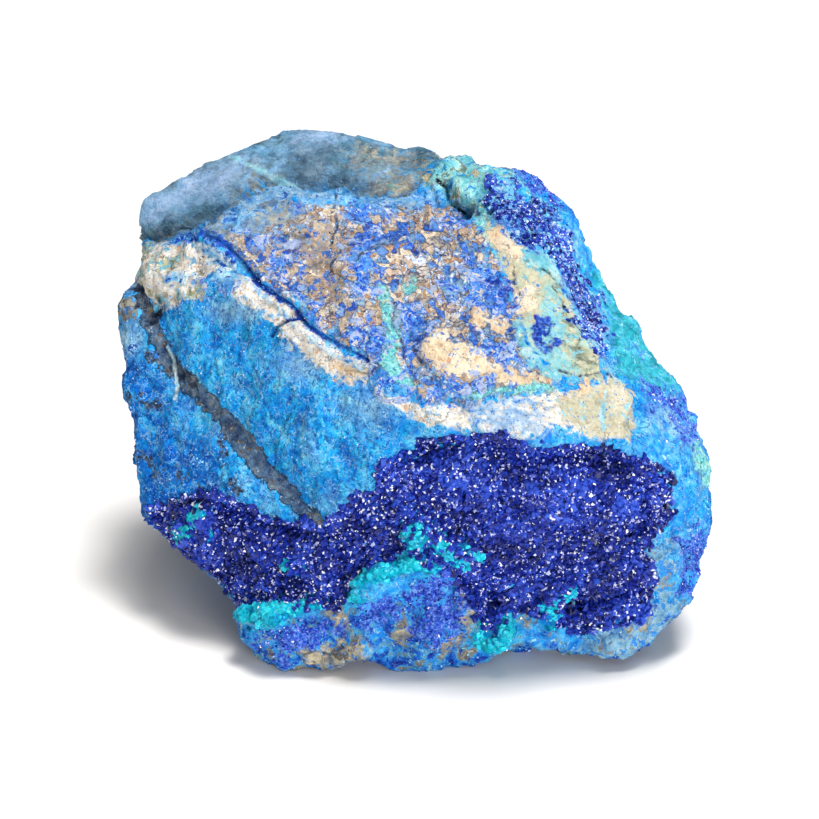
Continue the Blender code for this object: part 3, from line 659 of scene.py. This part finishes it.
class Shader:
    """A material's nodes, written as a sum is."""

    def __init__(self, name):
        self.material = bpy.data.materials.new(name)
        self.material.use_nodes = True
        self.nodes = self.material.node_tree.nodes
        self.links = self.material.node_tree.links
        self.surface = self.nodes["Principled BSDF"]
        self.place = self.nodes.new("ShaderNodeTexCoord").outputs["Object"]

    def put(self, socket, value):
        if isinstance(value, bpy.types.NodeSocket):
            self.links.new(value, socket)
        elif isinstance(value, str):
            socket.default_value = plain_colour(value)
        else:
            socket.default_value = value

    def math(self, what, *values):
        node = self.nodes.new("ShaderNodeMath")
        node.operation = what
        for socket, value in zip(node.inputs, values):
            self.put(socket, value)
        return node.outputs[0]

    def mix(self, share, a, b, how="MIX"):
        node = self.nodes.new("ShaderNodeMix")
        node.data_type = "RGBA"
        node.blend_type = how
        for place, value in zip((0, 6, 7), (share, a, b)):
            self.put(node.inputs[place], value)
        return node.outputs[2]

    def texture(self, kind, size, place):
        node = self.nodes.new(kind)
        self.put(node.inputs["Vector"], place)
        node.inputs["Scale"].default_value = 1 / (size * MM)
        return node

    def noise(self, size, detail=3.0, roughness=0.55, warp=0.0, place=None):
        """Noise of this size in mm, from about 0 to 1."""
        node = self.texture("ShaderNodeTexNoise", size, place or self.place)
        node.inputs["Detail"].default_value = detail
        node.inputs["Roughness"].default_value = roughness
        node.inputs["Distortion"].default_value = warp
        return self.span(node.outputs["Fac"], 0.27, 0.73)

    def cells(self, size, place):
        return self.texture("ShaderNodeTexVoronoi", size, place).outputs

    def moved(self, noise_size, by):
        """The place, shifted about by noise, in mm."""
        node = self.texture("ShaderNodeTexNoise", noise_size, self.place)
        node.inputs["Detail"].default_value = 2.0
        shift = self.nodes.new("ShaderNodeVectorMath")
        shift.operation = "MULTIPLY_ADD"
        self.put(shift.inputs[0], node.outputs["Color"])
        shift.inputs[1].default_value = (by * MM,) * 3
        self.put(shift.inputs[2], self.place)
        return shift.outputs[0]

    def span(self, value, low, high, to_low=0.0, to_high=1.0):
        node = self.nodes.new("ShaderNodeMapRange")
        node.interpolation_type = "SMOOTHSTEP"
        node.clamp = False
        for socket, v in zip(node.inputs, (value, low, high, to_low, to_high)):
            self.put(socket, v)
        return node.outputs[0]

    def ramp(self, value, colours):
        """Colours from 0 to 1, evenly spaced but for those with a place, such as 54849E@0.3."""
        codes = colours.split()
        node = self.nodes.new("ShaderNodeValToRGB")
        points = node.color_ramp.elements
        while len(points) < len(codes):
            points.new(0.5)
        for number, (point, code) in enumerate(zip(points, codes)):
            code, _, at = code.partition("@")
            point.position = float(at or number / (len(codes) - 1))
            point.color = plain_colour(code)
        self.put(node.inputs[0], value)
        return node.outputs[0]

    def split(self, colour):
        node = self.nodes.new("ShaderNodeSeparateColor")
        self.put(node.inputs[0], colour)
        return node.outputs

    def stored(self, name):
        node = self.nodes.new("ShaderNodeAttribute")
        node.attribute_name = name
        return node.outputs["Fac"]

    def bump(self, height, distance, strength):
        node = self.nodes.new("ShaderNodeBump")
        node.inputs["Strength"].default_value = strength
        node.inputs["Distance"].default_value = distance * MM
        self.put(node.inputs["Height"], height)
        return node.outputs[0]


# The sizes of the patches, in mm, and the colours of the earthy azurite and of its deeper places
SPOTS = (0.6, 1.0, 1.5, 2.2, 3.2, 5.5)
BLUE_STOPS = "0A6ECC 129EF2@0.35 30C0FE@0.7 84E0FF"
DEEP_STOPS = "0648AA 0A76D8@0.45 149CEE@0.8 48C0FA"
# Each kind of surface: its edge's softness and raggedness in pixels, the noise that its colours
# follow, those colours, and patches of other colours: (size in mm, part covered, softness, colour).
# The mottled stone's colours come from stony().
LOOKS = {
    "dome": (6, 22, "broad", "446C80 54849E@0.3 6EA4CA@0.55 92C2E8@0.8 B0D4F0", [
        (5.5, 0.3, 0.3, "567884"), (3.2, 0.2, 0.25, "80B2D4"), (1.5, 0.12, 0.14, "50707E")]),
    "mottled": (4, 20, "medium", "", []),
    "tanned": (8, 44, "medium", "7C8290 AC9C8C@0.35 D0B08E@0.7 F0DCBE", [
        (3.2, 0.26, 0.05, "D8C8AE"), (2.2, 0.3, 0.05, "4A74C0"), (1.5, 0.2, 0.05, "84A8CC"),
        (1.0, 0.16, 0.04, "F4E6D0"), (0.6, 0.14, 0.04, "3C3C58")]),
    # painted shade at the foot of the smooth back lobe and in the saddle
    "painted_shade": (16, 10, "medium", "445C6C 5A788E 7C96A8", []),
    "lavender": (14, 12, "broad", "94B8DE BCD4F4", []),
    "haze": (9, 20, "medium", "5486B8 7C9EC0@0.3 A0ACAC@0.6 CABCA4", [
        (1.0, 0.22, 0.04, "6AA8E0"), (1.0, 0.12, 0.03, "46587C")]),
    "low": (6, 16, "medium",
        "142688 1A50BE@0.22 2C86D8@0.42 50A8DC@0.58 74949C@0.7 8E8474@0.82 6A6864@0.91 BCB49C", [
        (1.0, 0.2, 0.04, "1E48C0"), (0.6, 0.12, 0.03, "9ED8F0")]),
    "brown": (8, 26, "medium", "645E5C 8E8A84@0.4 B4AE9A@0.75 D2C4A6", [
        (1.5, 0.38, 0.08, "7E98A6"), (1.0, 0.14, 0.05, "7CA894")]),
    "nodule": (2.5, 12, "medium", "60646A 8C8E8A@0.35 B4AA90@0.7 DCCEB0", [
        (1.0, 0.16, 0.04, "4A7EC0"), (1.5, 0.14, 0.04, "6A6258")]),
    "rim": (6, 34, "medium", "569ACC 90C0D8 C8D8CE", [
        (2.2, 0.35, 0.03, "3E98E8"), (3.2, 0.22, 0.04, "9A968C")]),
    "teal": (5, 18, "medium", "1C8CA4 28B0C4@0.35 4CCCE0@0.7 8CE0F4", [
        (2.2, 0.22, 0.08, "3C9CE4"), (1.5, 0.14, 0.08, "94E0EC")]),
    "cream": (3, 14, "medium", "C4BEB4 EAE2D4@0.3 FAF2E6@0.6 FFFFFA", [
        (1.5, 0.24, 0.05, "98C8EC"), (0.6, 0.12, 0.03, "7E7468"), (1.0, 0.14, 0.04, "D8B08C"),
        (2.2, 0.16, 0.04, "B4AC94")]),
    "veiled": (8, 30, "medium", "74A6D8 B0CCE8 E6ECEE", [
        (1.0, 0.2, 0.04, "E8DCC0"), (1.5, 0.16, 0.04, "5088D0")]),
    "straw": (3, 14, "broad", "C4C0A4 D8D0B4 EAE2CC", [
        (1.0, 0.12, 0.06, "B8B898"), (1.5, 0.16, 0.06, "9CD8E4"), (2.2, 0.12, 0.06, "DCBC90")]),
    "slab": (2, 10, "broad", "84CCDC A4D4D0@0.3 C8D0B4 DED4B2 ECDCB8", [
        (1.5, 0.24, 0.04, "84C8D8"), (1.0, 0.15, 0.03, "7E9088"), (2.2, 0.14, 0.03, "5C94D8"),
        (1.0, 0.16, 0.04, "E0C8A0")]),
    "crest": (4, 22, "medium", "5AB0C0 86DCE4@0.35 B4EEE8@0.7 E0EECE", [
        (2.2, 0.25, 0.04, "7E948C"), (1.5, 0.2, 0.03, "3E9CE0"), (3.2, 0.15, 0.04, "D2C8A2")]),
    "peach": (3, 16, "broad", "E0BE96 F4DCB8 FCEED8", [
        (1.5, 0.06, 0.04, "6C84C4"), (1.0, 0.1, 0.06, "D4A47A")]),
    "aqua": (4, 14, "medium", "60BCD0 8CD0DC C0E4E0", [
        (1.0, 0.1, 0.04, "5C98A8"), (1.5, 0.16, 0.05, "E4DCB8")]),
    "olive": (4, 24, "medium", "6C7C74 A4A88C@0.35 CCC8A0@0.7 E4DCB8", [
        (1.5, 0.3, 0.04, "8CD0DC"), (1.0, 0.12, 0.03, "54483C")]),
    "mint": (3, 9, "fine", "4CB0B4 82D8DA BAECE6", [
        (1.0, 0.16, 0.04, "3E8C98"), (1.5, 0.16, 0.04, "C8D8B4")]),
    "blue": (4, 34, "fine", "1B35A8 2F6CE0@0.4 74B8F4", [
        (2.2, 0.26, 0.04, "5E9CE6"), (1.5, 0.26, 0.04, "B4C2E4"), (1.0, 0.2, 0.03, "E4D8C6")]),
    "sky": (6, 20, "medium", "1878DC 2CA6F4 7CD4FC", [(1.0, 0.14, 0.05, "B4E4F8")]),
    "violet": (5, 26, "fine", "22349A 3C66DC 84ACF4", [(2.2, 0.3, 0.04, "3EA0F0")]),
    "vein": (1.6, 7, "medium", "2C4264 48648A@0.3 627E98@0.6 7C8084@0.8 A4A6A2", [
        (2.2, 0.18, 0.08, "4A7CA8"), (1.0, 0.16, 0.04, "6E5C4A"), (0.6, 0.1, 0.03, "B8C4CC")]),
    "speckled": (2, 16, "fine", "1C2838 44546A@0.6 7C94A8", [(0.6, 0.3, 0.04, "3C8CE0")]),
    "edge": (4, 16, "medium", "5CA4E4 84C4F4@0.4 C4E4FC", [
        (1.5, 0.16, 0.03, "3E74D0"), (1.0, 0.12, 0.03, "D4E8F4")]),
    "frost": (3, 14, "medium", "5CA8E8 98D4F8 D8F2FC", [(1.5, 0.2, 0.04, "2C5CB4")]),
    "ink": (4, 16, "medium", "101828 283448@0.5 4C5868@0.85 8C7C5C", []),
    "lip": (1.2, 6, "fine", "90CCF0 D0E8F4 FAFAF6", []),
    "streak": (2, 4, "medium", "88D0E4 CEF2F6", []),
    # partly pale stone, partly painted highlight on the grey vein's lit edge
    "pale": (1.2, 1.6, "fine", "B4E8F0 F4FFFF", []),
    "bright": (2, 8, "fine", "1034A4 2064D6 60AEF4@0.8", [(0.6, 0.16, 0.03, "D8F0FC")]),
    "indigo": (3, 14, "fine", "1A2878 2C50C0@0.6 4C8EE4", []),
    "crack": (1.0, 4, "medium", "183088 2250BC@0.4 3C80E4", []),
    # thin dark lines; the one along the peach flake's step is painted shadow
    "fine_dark": (1.2, 3, "fine", "2C3452 565E74", []),
    "dark": (1.2, 3, "fine", "0E1A1A 24383A", []),
    "flank": (4, 20, "fine", "162C84 2C5CBC@0.4 7CB4EC", [
        (2.2, 0.42, 0.05, "7CC8E8"), (1.0, 0.16, 0.05, "B4D4EC")]),
    "hollow": (3, 14, "fine", "0A0A44 161C80 2438B8", []),
    "halo": (5, 20, "medium", "1C8CDC 38C4F0", []),
    "malachite": (1.6, 8, "medium", "0480AC 04A8CC@0.35 0AC8DA@0.75 40E0E8", [
        (1.0, 0.14, 0.04, "066C8C"), (1.5, 0.2, 0.04, "1484D8")]),
}
# A dark seam along the edge of some of them: its half width in pixels, its share and its colour. Along
# the grey vein and the peach flakes it is painted shade at their sunken and raised edges.
SEAMS_AND_EDGE_SHADE = {
    "vein": (1.3, 0.8, "1C2430"), "mint": (1.0, 0.45, "3C6C80"), "peach": (1.0, 0.4, "4A4C78"),
    "malachite": (1.0, 0.5, "0C4A78"), "nodule": (1.0, 0.45, "3A4668"), "slab": (0.9, 0.4, "4C6484"),
}
# Blobs in the mottled stone, each kind over the last: size in mm, part covered, how much more of it
# there is where the stone is creamier, and its darkest and lightest colour
BLOBS = [
    (5.5, 0.42, 0.8, "988C84", "C8C0B2"), (3.4, 0.38, 1.0, "AC947C", "DEC8AA"),
    (2.2, 0.27, 0.8, "D4BC9C", "F6EAD4"), (3.2, 0.24, -1.0, "2246AC", "5086E0"),
    (1.8, 0.17, -0.8, "2E60CC", "6CA0EC"), (1.3, 0.24, -0.3, "76AADE", "B8D8F4"),
    (1.1, 0.12, 0.3, "AC866A", "D4A880"), (1.3, 0.1, 0.2, "CCD2E8", "FAFAFF"),
]


def rock_material():
    m = Shader("grown_rock")
    edge = m.math("SUBTRACT", m.noise(1.5, 3.0, 0.6, 0.3), 0.5)
    follow = {
        "fine": m.noise(0.42, 3.0, 0.6), "medium": m.noise(2.2, 4.0, 0.62, 0.4),
        "broad": m.noise(7.0, 4.0, 0.6, 0.4),
    }
    grains = m.cells(0.5, m.moved(1.2, 0.8))
    grain_tone = m.split(grains["Color"])[0]
    spotted = {size: m.noise(size, 4.0, 0.65, 0.6) for size in SPOTS}

    def patches(colour, spots):
        for size, part, soft, other in spots:
            share = m.span(spotted[size], 1 - soft - part, 1 + soft - part)
            colour = m.mix(share, colour, other)
        return colour

    def seam(level, at, half_width, share):
        """A thin line where a level is passed."""
        gap = m.math("ABSOLUTE", m.math("SUBTRACT", level, at))
        return m.span(gap, half_width, 0.3 * half_width, 0.0, share)

    def curls(size, half_width, share):
        """Short curled strokes."""
        level = m.noise(size, 2.0, 0.5, 0.6)
        return m.math("MULTIPLY", seam(level, 0.5, half_width, share), m.span(
            m.noise(1.7 * size, 2.0), 0.4, 0.62))

    def stony():
        """Blobs of cream, cobalt, sky blue, tan and white in grey blue, with dark seams round them."""
        long = m.nodes.new("ShaderNodeMapping")
        m.put(long.inputs["Vector"], m.place)
        long.inputs["Scale"].default_value = (1.0, 0.6, 1.0)
        here = m.ramp(follow["medium"], "4E7CB4 80A8CC B0C6D0")
        for size, part, sway, low, high in BLOBS:
            level = m.math("MULTIPLY_ADD", m.stored("cast"), sway,
                           m.noise(size, 1.0, 0.5, 0.5, long.outputs[0]))
            blob = m.ramp(follow["fine"], f"{low}@0.15 {high}@0.85")
            here = m.mix(m.span(level, 0.98 - part, 1.02 - part), here, blob)
            here = m.mix(seam(level, 1 - part, 0.055, 0.65), here, "343C68")
        # round pebbles in half of the cells, each with a dark ring
        pebble = m.cells(1.65, m.moved(1.1, 1.6))
        drawn = m.split(pebble["Color"])
        shown = m.span(drawn[1], 0.5, 0.54, 0.0, 0.9)
        ring = m.math("MULTIPLY", shown, m.span(pebble["Distance"], 0.54, 0.48))
        core = m.math("MULTIPLY", shown, m.span(pebble["Distance"], 0.48, 0.4))
        here = m.mix(ring, here, "46486C")
        here = m.mix(core, here, m.ramp(
            m.math("ADD", drawn[0], m.stored("cast")),
            "2C56C4 5C94DC@0.18 B0C8E8@0.38 D0B498@0.52 ECD8BC@0.66 F8F0E4@0.84 E0BE9C"))
        return m.mix(curls(0.9, 0.1, 0.7), here, "3C3448")

    # earthy azurite, paler and greyer in places
    deep = m.stored("deep")
    colour = m.mix(deep, m.ramp(follow["medium"], BLUE_STOPS), m.ramp(follow["medium"], DEEP_STOPS))
    paler = m.math("MULTIPLY", m.span(follow["broad"], 0.5, 0.95), m.span(deep, 0.7, 0.2, 0.0, 0.5))
    colour = m.mix(paler, colour, "70B4E4")
    colour = m.mix(m.span(m.noise(4.4, 4.0, 0.6, 0.5), 0.6, 0.9, 0.0, 0.5), colour, "1C78C8")
    # pale veils over the blue; the one at the right rim is painted light
    colour = m.mix(m.span(m.stored("pale_veil_and_painted_light"), 0.0, 1.0, 0.0, 0.75), colour,
                   m.ramp(follow["medium"], "6AA8DC 9CC6E0 CCDCE0"))

    # its grain: dark and pale curls
    colour = m.mix(m.span(m.noise(0.5, 3.0, 0.6, 0.8), 0.36, 0.14, 0.0, 0.6), colour, "0C4098")
    colour = m.mix(curls(1.3, 0.09, 0.7), colour, "0C4898")
    colour = m.mix(curls(0.9, 0.11, 0.55), colour, "8CD6FC")
    colour = m.mix(curls(1.6, 0.06, 0.6), colour, "B0E2FC")

    for name, (soft, ragged, noise, stops, spots) in LOOKS.items():
        here = stony() if name == "mottled" else patches(m.ramp(follow[noise], stops), spots)
        shown = m.math("MULTIPLY_ADD", edge, ragged, m.stored(name))
        colour = m.mix(m.span(shown, -soft, soft), colour, here)
        # dark seams; along the grey vein and the peach flakes they are painted shade
        if name in SEAMS_AND_EDGE_SHADE:
            half_width, share, dark = SEAMS_AND_EDGE_SHADE[name]
            colour = m.mix(seam(shown, 0.0, half_width, share), colour, dark)

    # crisp strokes over it, but for the smooth back lobe
    rough = m.span(m.stored("dome"), 2, -4)
    colour = m.mix(m.math("MULTIPLY", curls(1.15, 0.07, 0.34), rough), colour, "242E50")
    colour = m.mix(m.math("MULTIPLY", curls(1.05, 0.05, 0.22), rough), colour, "DCECF4")

    # lighter and darker grains, and shade in the pits between them
    colour = m.mix(m.span(grain_tone, 0.6, 1.0, 0.0, 0.3), colour, "D8ECFA", "SOFT_LIGHT")
    colour = m.mix(m.span(grain_tone, 0.4, 0.0, 0.0, 0.4), colour, "20305C", "SOFT_LIGHT")
    colour = m.mix(m.span(grains["Distance"], 0.5, 0.95, 0.0, 0.16), colour, "16244A", "MULTIPLY")
    m.put(m.surface.inputs["Base Color"], colour)
    m.put(m.surface.inputs["Roughness"], m.span(follow["fine"], 0.0, 1.0, 0.95, 0.6))
    m.surface.inputs["Specular IOR Level"].default_value = 0.1
    height = m.math("MULTIPLY_ADD", grains["Distance"], -0.6, m.noise(0.3, 4.0, 0.7))
    m.put(m.surface.inputs["Normal"], m.bump(height, 0.2, 0.9))
    return m.material


def crystal_material(name, colours, glint, roughness=0.12):
    """Glassy crystals, each with its own tone, and with some faces painted pale as glints: painted
    highlights.
    """
    m = Shader(name)
    tone = m.math("MULTIPLY_ADD", m.math("SUBTRACT", m.noise(0.5, 2.0), 0.5), 0.5, m.stored("tone"))
    m.put(m.surface.inputs["Base Color"], m.mix(m.stored("glint"), m.ramp(tone, colours), glint))
    m.surface.inputs["Roughness"].default_value = roughness
    m.surface.inputs["IOR"].default_value = 1.55
    m.surface.inputs["Specular IOR Level"].default_value = 0.3
    m.put(m.surface.inputs["Normal"], m.bump(m.noise(0.16, 3.0, 0.6), 0.02, 0.35))
    return m.material


def quads_of(mesh):
    corner = np.empty(len(mesh.loops), np.int32)
    mesh.loops.foreach_get("vertex_index", corner)
    return corner.reshape(-1, 4)


def new_piece(name, points, faces, material, node, smooth_normals=None, **stored):
    """A mesh in mm as one piece of the object, with its own material. That node's part is hidden."""
    mesh = bpy.data.meshes.new(name)
    mesh.from_pydata((points * MM).tolist(), [], faces)
    for key, (domain, values) in stored.items():
        mesh.attributes.new(key, "FLOAT", domain).data.foreach_set(
            "value", np.asarray(values, np.float32))
    if smooth_normals is not None:
        mesh.polygons.foreach_set("use_smooth", np.ones(len(mesh.polygons), bool))
        mesh.normals_split_custom_set_from_vertices(smooth_normals.tolist())
    mesh.materials.append(material)
    obj = linked(name, mesh)
    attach(obj, "root")
    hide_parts(node)
    return obj


# A crystal as a blunt wedge with a ridge for its top, as parts of its size. Its root is left open.
WEDGE = (np.array([
    (-0.5, -0.5, -0.7), (0.5, -0.5, -0.7), (0.5, 0.5, -0.7), (-0.5, 0.5, -0.7),
    (-0.5, -0.5, 0.2), (0.5, -0.5, 0.32), (0.5, 0.5, 0.25), (-0.5, 0.5, 0.15),
    (-0.22, 0.05, 0.52), (0.26, -0.05, 0.6),
]), [
    (0, 1, 5, 4), (1, 2, 6, 5), (2, 3, 7, 6), (3, 0, 4, 7), (4, 5, 9, 8), (6, 7, 8, 9),
    (5, 6, 9), (7, 4, 8),
])
# A smaller crystal with three sides and a slanting top
CHIP = (np.array([
    (-0.5, -0.3, -0.5), (0.5, -0.35, -0.5), (0.02, 0.55, -0.5), (-0.3, -0.2, 0.3),
    (0.32, -0.25, 0.38), (0.0, 0.36, 0.45),
]), [(0, 1, 4, 3), (1, 2, 5, 4), (2, 0, 3, 5), (3, 4, 5)])


def lobe():
    """A small rounded grain of malachite."""
    ball = bmesh.new()
    bmesh.ops.create_icosphere(ball, subdivisions=2, radius=0.5)
    points = np.array([v.co[:] for v in ball.verts])
    faces = [tuple(v.index for v in f.verts) for f in ball.faces]
    ball.free()
    return points, faces


def grown(shape, spots, normals, sizes, lean, skew):
    """The points and faces of many copies of a shape, each leaning out of the surface at its spot."""
    shape_points, shape_faces = shape
    count = len(spots)
    axis = normals + lean * dice.normal(size=(count, 3))
    axis /= np.linalg.norm(axis, axis=1)[:, None]
    side = np.cross(axis, dice.normal(size=(count, 3)))
    side /= np.linalg.norm(side, axis=1)[:, None]
    third = np.cross(axis, side)
    bent = 1 + skew * dice.uniform(-1, 1, size=(count, len(shape_points), 3))
    local = shape_points[None] * bent * sizes[:, None, :]
    where = (spots[:, None] + local[..., :1] * side[:, None] + local[..., 1:2] * third[:, None]
             + local[..., 2:] * axis[:, None])
    starts = np.arange(count) * len(shape_points)
    faces = [tuple(int(start) + k for k in face) for start in starts for face in shape_faces]
    return rested(where.reshape(-1, 3)), faces


def scattered(count, weights):
    """Spots on the rock's faces, each face getting as many as its area times its weight asks for."""
    a, b, c, d = (points[quads[:, k]] for k in range(4))
    area = np.linalg.norm(np.cross(c - a, d - b), axis=1)
    odds = area * weights
    chosen = dice.choice(len(odds), size=count, p=odds / odds.sum())
    u, v = dice.random(count)[:, None], dice.random(count)[:, None]
    corners = [k[chosen] for k in (a, b, c, d)]
    spots = (1 - v) * ((1 - u) * corners[0] + u * corners[1]) + v * (
        (1 - u) * corners[3] + u * corners[2])
    return spots, on_faces(outward)[chosen]


def crystal_piece(name, count, weights, size, shape, lean, material, node, tone, glint, lift=0.0):
    """A piece of many crystals, size being their least and greatest across."""
    count = int(count * SHARE)
    spots, normals = scattered(count, weights)
    spots = spots + lift * normals
    spread = np.stack([dice.uniform(low, high, count) for low, high in (
        (0.8, 1.3), (0.55, 0.95), (0.8, 1.35))], axis=1)
    big = 0.85 + 0.3 * step(0.5 + grain.rough(spots, 6, 2))
    across = dice.uniform(*size, count) * big
    where, faces = grown(shape, spots, normals, across[:, None] * spread, lean, 0.22)
    tones = tone(seen(spots)) if callable(tone) else tone
    tones = tones + 0.4 * grain.rough(spots, 5, 3) + dice.normal(0, 0.2, count)
    # Some faces are painted in the glint colour as painted highlights, more of them on the smaller crystals
    odds = glint * (1 + grain.rough(spots, 4, 2)) * (size[0] / across) ** 2
    each = len(shape[1])
    painted_glint_faces = dice.random(len(faces)) < np.repeat(np.clip(odds, 0, 1), each)
    new_piece(name, where, faces, material, node,
              tone=("FACE", np.repeat(np.clip(tones, 0, 1), each)), glint=("FACE", painted_glint_faces))


def druse_tone(at):
    """Darker at the lower left and the lower right, lighter in the upper middle."""
    tone = DRUSE_TONE
    for middle, reach, change in DRUSE_TONES:
        tone = tone + change * around(at, middle, reach)
    return tone


# The rock
mesh, points, outward = fine_rock()
quads = quads_of(mesh)


def on_faces(values):
    return values[quads].mean(axis=1)


region = regions_of(points, outward)
points = rested(add_relief(points, outward, region))
normals = normals_of(mesh, points)
at = seen(points)
facing = towards_eye(outward)

# The blue is deeper left of the vein, low down and on the sides
column, row = at.T
left_of_vein = step((VEIN_POINT[0] - column + 0.75 * (row - VEIN_POINT[1])) / 60)
deep = left_of_vein * step((row - DEEP_TOP) / 40) + step((row - DEEP_BASE) / 50) + (
    1 - step(facing / 0.2))
region["deep"] = np.clip(np.clip(deep, 0, 1) + 0.5 * grain.rough(points, 7.0, 2), 0, 1)

# The base's share as a level, as the other regions are
region["low"] = 24 * region["low"] - 12

# Where the mottled stone is more cream, and where more blue
creamy = region.pop("creamy")
region["cast"] = 0.36 * step(0.5 + creamy / 12) - 0.42 * step(0.5 + region["blue"] / 14)
# Pale veils; the one at the right rim is painted light
region["pale_veil_and_painted_light"] = np.clip(sum(
    strength * around(at, middle, reach) * (facing > least)
    for middle, reach, strength, least in PALE_VEILS_AND_PAINTED_LIGHT), 0, 1)

rock_look = rock_material()
front = on_faces(facing) > 0
low = on_faces(row + 12 * grain.smooth(points, 9)) > PARTING
right = on_faces(points[:, 0] + 4 * grain.smooth(points, 12)) > 0
for name, share in {
    "rock_front_upper": front & ~low, "rock_front_lower": front & low,
    "rock_left_and_back": ~front & ~right, "rock_right_and_back": ~front & right,
}.items():
    used, faces = np.unique(quads[share], return_inverse=True)
    new_piece(name, points[used], faces.reshape(-1, 4).tolist(), rock_look, "host_rock",
              smooth_normals=normals[used],
              **{key: ("POINT", np.clip(values[used], -LIMIT, LIMIT)) for key, values in region.items()})

# The crystals and the malachite
dice = np.random.default_rng(5)
ragged_edge = on_faces(7 * grain.rough(points, 1.6, 3))


def patch(name, reach=0.0, soft=2.0):
    return step(0.5 + (on_faces(region[name]) + reach + ragged_edge) / (2 * soft))


green = patch("malachite")
hollow = patch("hollow", 3) * (1 - 0.92 * green)
flank = patch("flank", 2) * step(0.42 + 1.3 * on_faces(grain.rough(points, 3, 3)))
lumps = patch("violet", 0)
earth = (1 - patch("hollow", 4)) * (1 - patch("flank", 2)) * (1 - green) * (1 - patch("vein", 2)) * (
    1 - patch("slab")) * (1 - 0.7 * patch("teal")) * (1 - 0.8 * patch("dome"))
indigo = crystal_material("azurite_crystals", "091246 16288E 3456C6", "C4CEF6")
violet = crystal_material("violet_crystals", "16207A 2E46C8 74A0EC", "E4E8FC")
steel = crystal_material("steel_blue_crystals", "1C4494 4078C4 8CC0E8", "D4E8FC")
dusty = crystal_material("azurite_dust", "1456B8 3496E4 9CD4FA", "FFFFFF", 0.3)
# The glint chips are small crystals painted pale to white that stand for glints: painted highlights
bright = crystal_material("crystal_glints", "5C68C4 B4BCF0 FFFFFF", "FFFFFF", 0.2)
crystal_piece("druse_crystals", 9500, hollow, (0.45, 0.8), WEDGE, 0.42, indigo, "azurite_druse",
              druse_tone, 0.018)
crystal_piece("druse_glints", 2600, hollow, (0.22, 0.42), CHIP, 0.6, bright, "azurite_druse",
              0.55, 0.2, 0.27)
crystal_piece("flank_crystals", 1600, flank, (0.3, 0.52), WEDGE, 0.55, indigo, "host_rock",
              0.5, 0.02)
crystal_piece("flank_blue_crystals", 1000, flank, (0.28, 0.5), WEDGE, 0.55, steel, "host_rock",
              0.6, 0.03)
crystal_piece("flank_glints", 340, flank, (0.2, 0.36), CHIP, 0.6, bright, "host_rock",
              0.4, 0.2, 0.2)
crystal_piece("lump_crystals", 4200, lumps, (0.22, 0.42), CHIP, 0.5, violet, "host_rock",
              0.5, 0.05)
crystal_piece("earthy_grains", 9000, earth, (0.14, 0.28), CHIP, 0.5, dusty, "host_rock",
              0.5, 0.05)

spots, leaning = scattered(int(600 * SHARE), patch("malachite", -2))
sizes = dice.uniform(0.25, 0.8, (len(spots), 1)) * dice.uniform(0.6, 1.4, (len(spots), 3)) * (
    1, 1, 0.22)
shape = lobe()
where, faces = grown(shape, spots, leaning, sizes, 0.1, 0.1)
tones = np.repeat(np.clip(dice.normal(0.5, 0.2, len(spots)), 0, 1), len(shape[1]))
# Some lobe faces are painted pale as glints: painted highlights
lobes = crystal_material("malachite", "0484AC 04ACC8 18D0DC", "7CECF0", 0.6)
new_piece("malachite_lobes", where, faces, lobes, "host_rock",
          tone=("FACE", tones), glint=("FACE", dice.random(len(tones)) < 0.03))

# The studio: each light's side, height, strength and width, the sides and heights in degrees, with
# side 0 at the photograph's eye and side 90 at the right
LIGHTS = {
    "key": (112, 79, 1.8, 14), "overhead": (112, 82, 1.7, 24), "front": (28, 4, 4.4, 26),
    "spark_0": (-30, 40, 0.07, 5), "spark_1": (25, 60, 0.07, 5), "spark_2": (50, 25, 0.07, 5),
}
SURROUNDINGS = 0.2
PAPER = (0.86, 0.835, 0.8, 1)
FLOOR_SIDE = 6
SENSOR = 36.0


def sun(name, side, height, strength, width):
    lamp = bpy.data.lights.new(name, "SUN")
    lamp.energy = strength
    lamp.angle = math.radians(width)
    obj = linked(name, lamp)
    turn, up = math.radians(side), math.radians(height)
    back = Vector((math.sin(turn) * math.cos(up), -math.cos(turn) * math.cos(up), math.sin(up)))
    obj.rotation_euler = back.to_track_quat("Z", "Y").to_euler()


def studio():
    """A white floor, white surroundings, and soft light from the upper right and the front."""
    world = bpy.data.worlds.new("surroundings")
    world.use_nodes = True
    background = world.node_tree.nodes["Background"].inputs
    background["Color"].default_value = (1, 1, 1, 1)
    background["Strength"].default_value = SURROUNDINGS
    bpy.context.scene.world = world
    bpy.ops.mesh.primitive_plane_add(size=FLOOR_SIDE)
    floor = bpy.context.object
    floor.name = "floor"
    paper = bpy.data.materials.new("paper")
    paper.use_nodes = True
    surface = paper.node_tree.nodes["Principled BSDF"].inputs
    surface["Base Color"].default_value = PAPER
    surface["Roughness"].default_value = 0.9
    floor.data.materials.append(paper)
    for name, light in LIGHTS.items():
        sun(name, *light)
    bpy.context.scene.view_settings.view_transform = "Standard"


def camera():
    lens = bpy.data.cameras.new("eye")
    lens.sensor_width = SENSOR
    lens.lens = SENSOR * REACH / PIXEL / IMAGE
    lens.clip_start = 0.01
    obj = linked("eye", lens)
    obj.location = EYE * MM
    obj.rotation_euler = Vector(FORWARD).to_track_quat("-Z", "Y").to_euler()
    bpy.context.scene.camera = obj


studio()
camera()
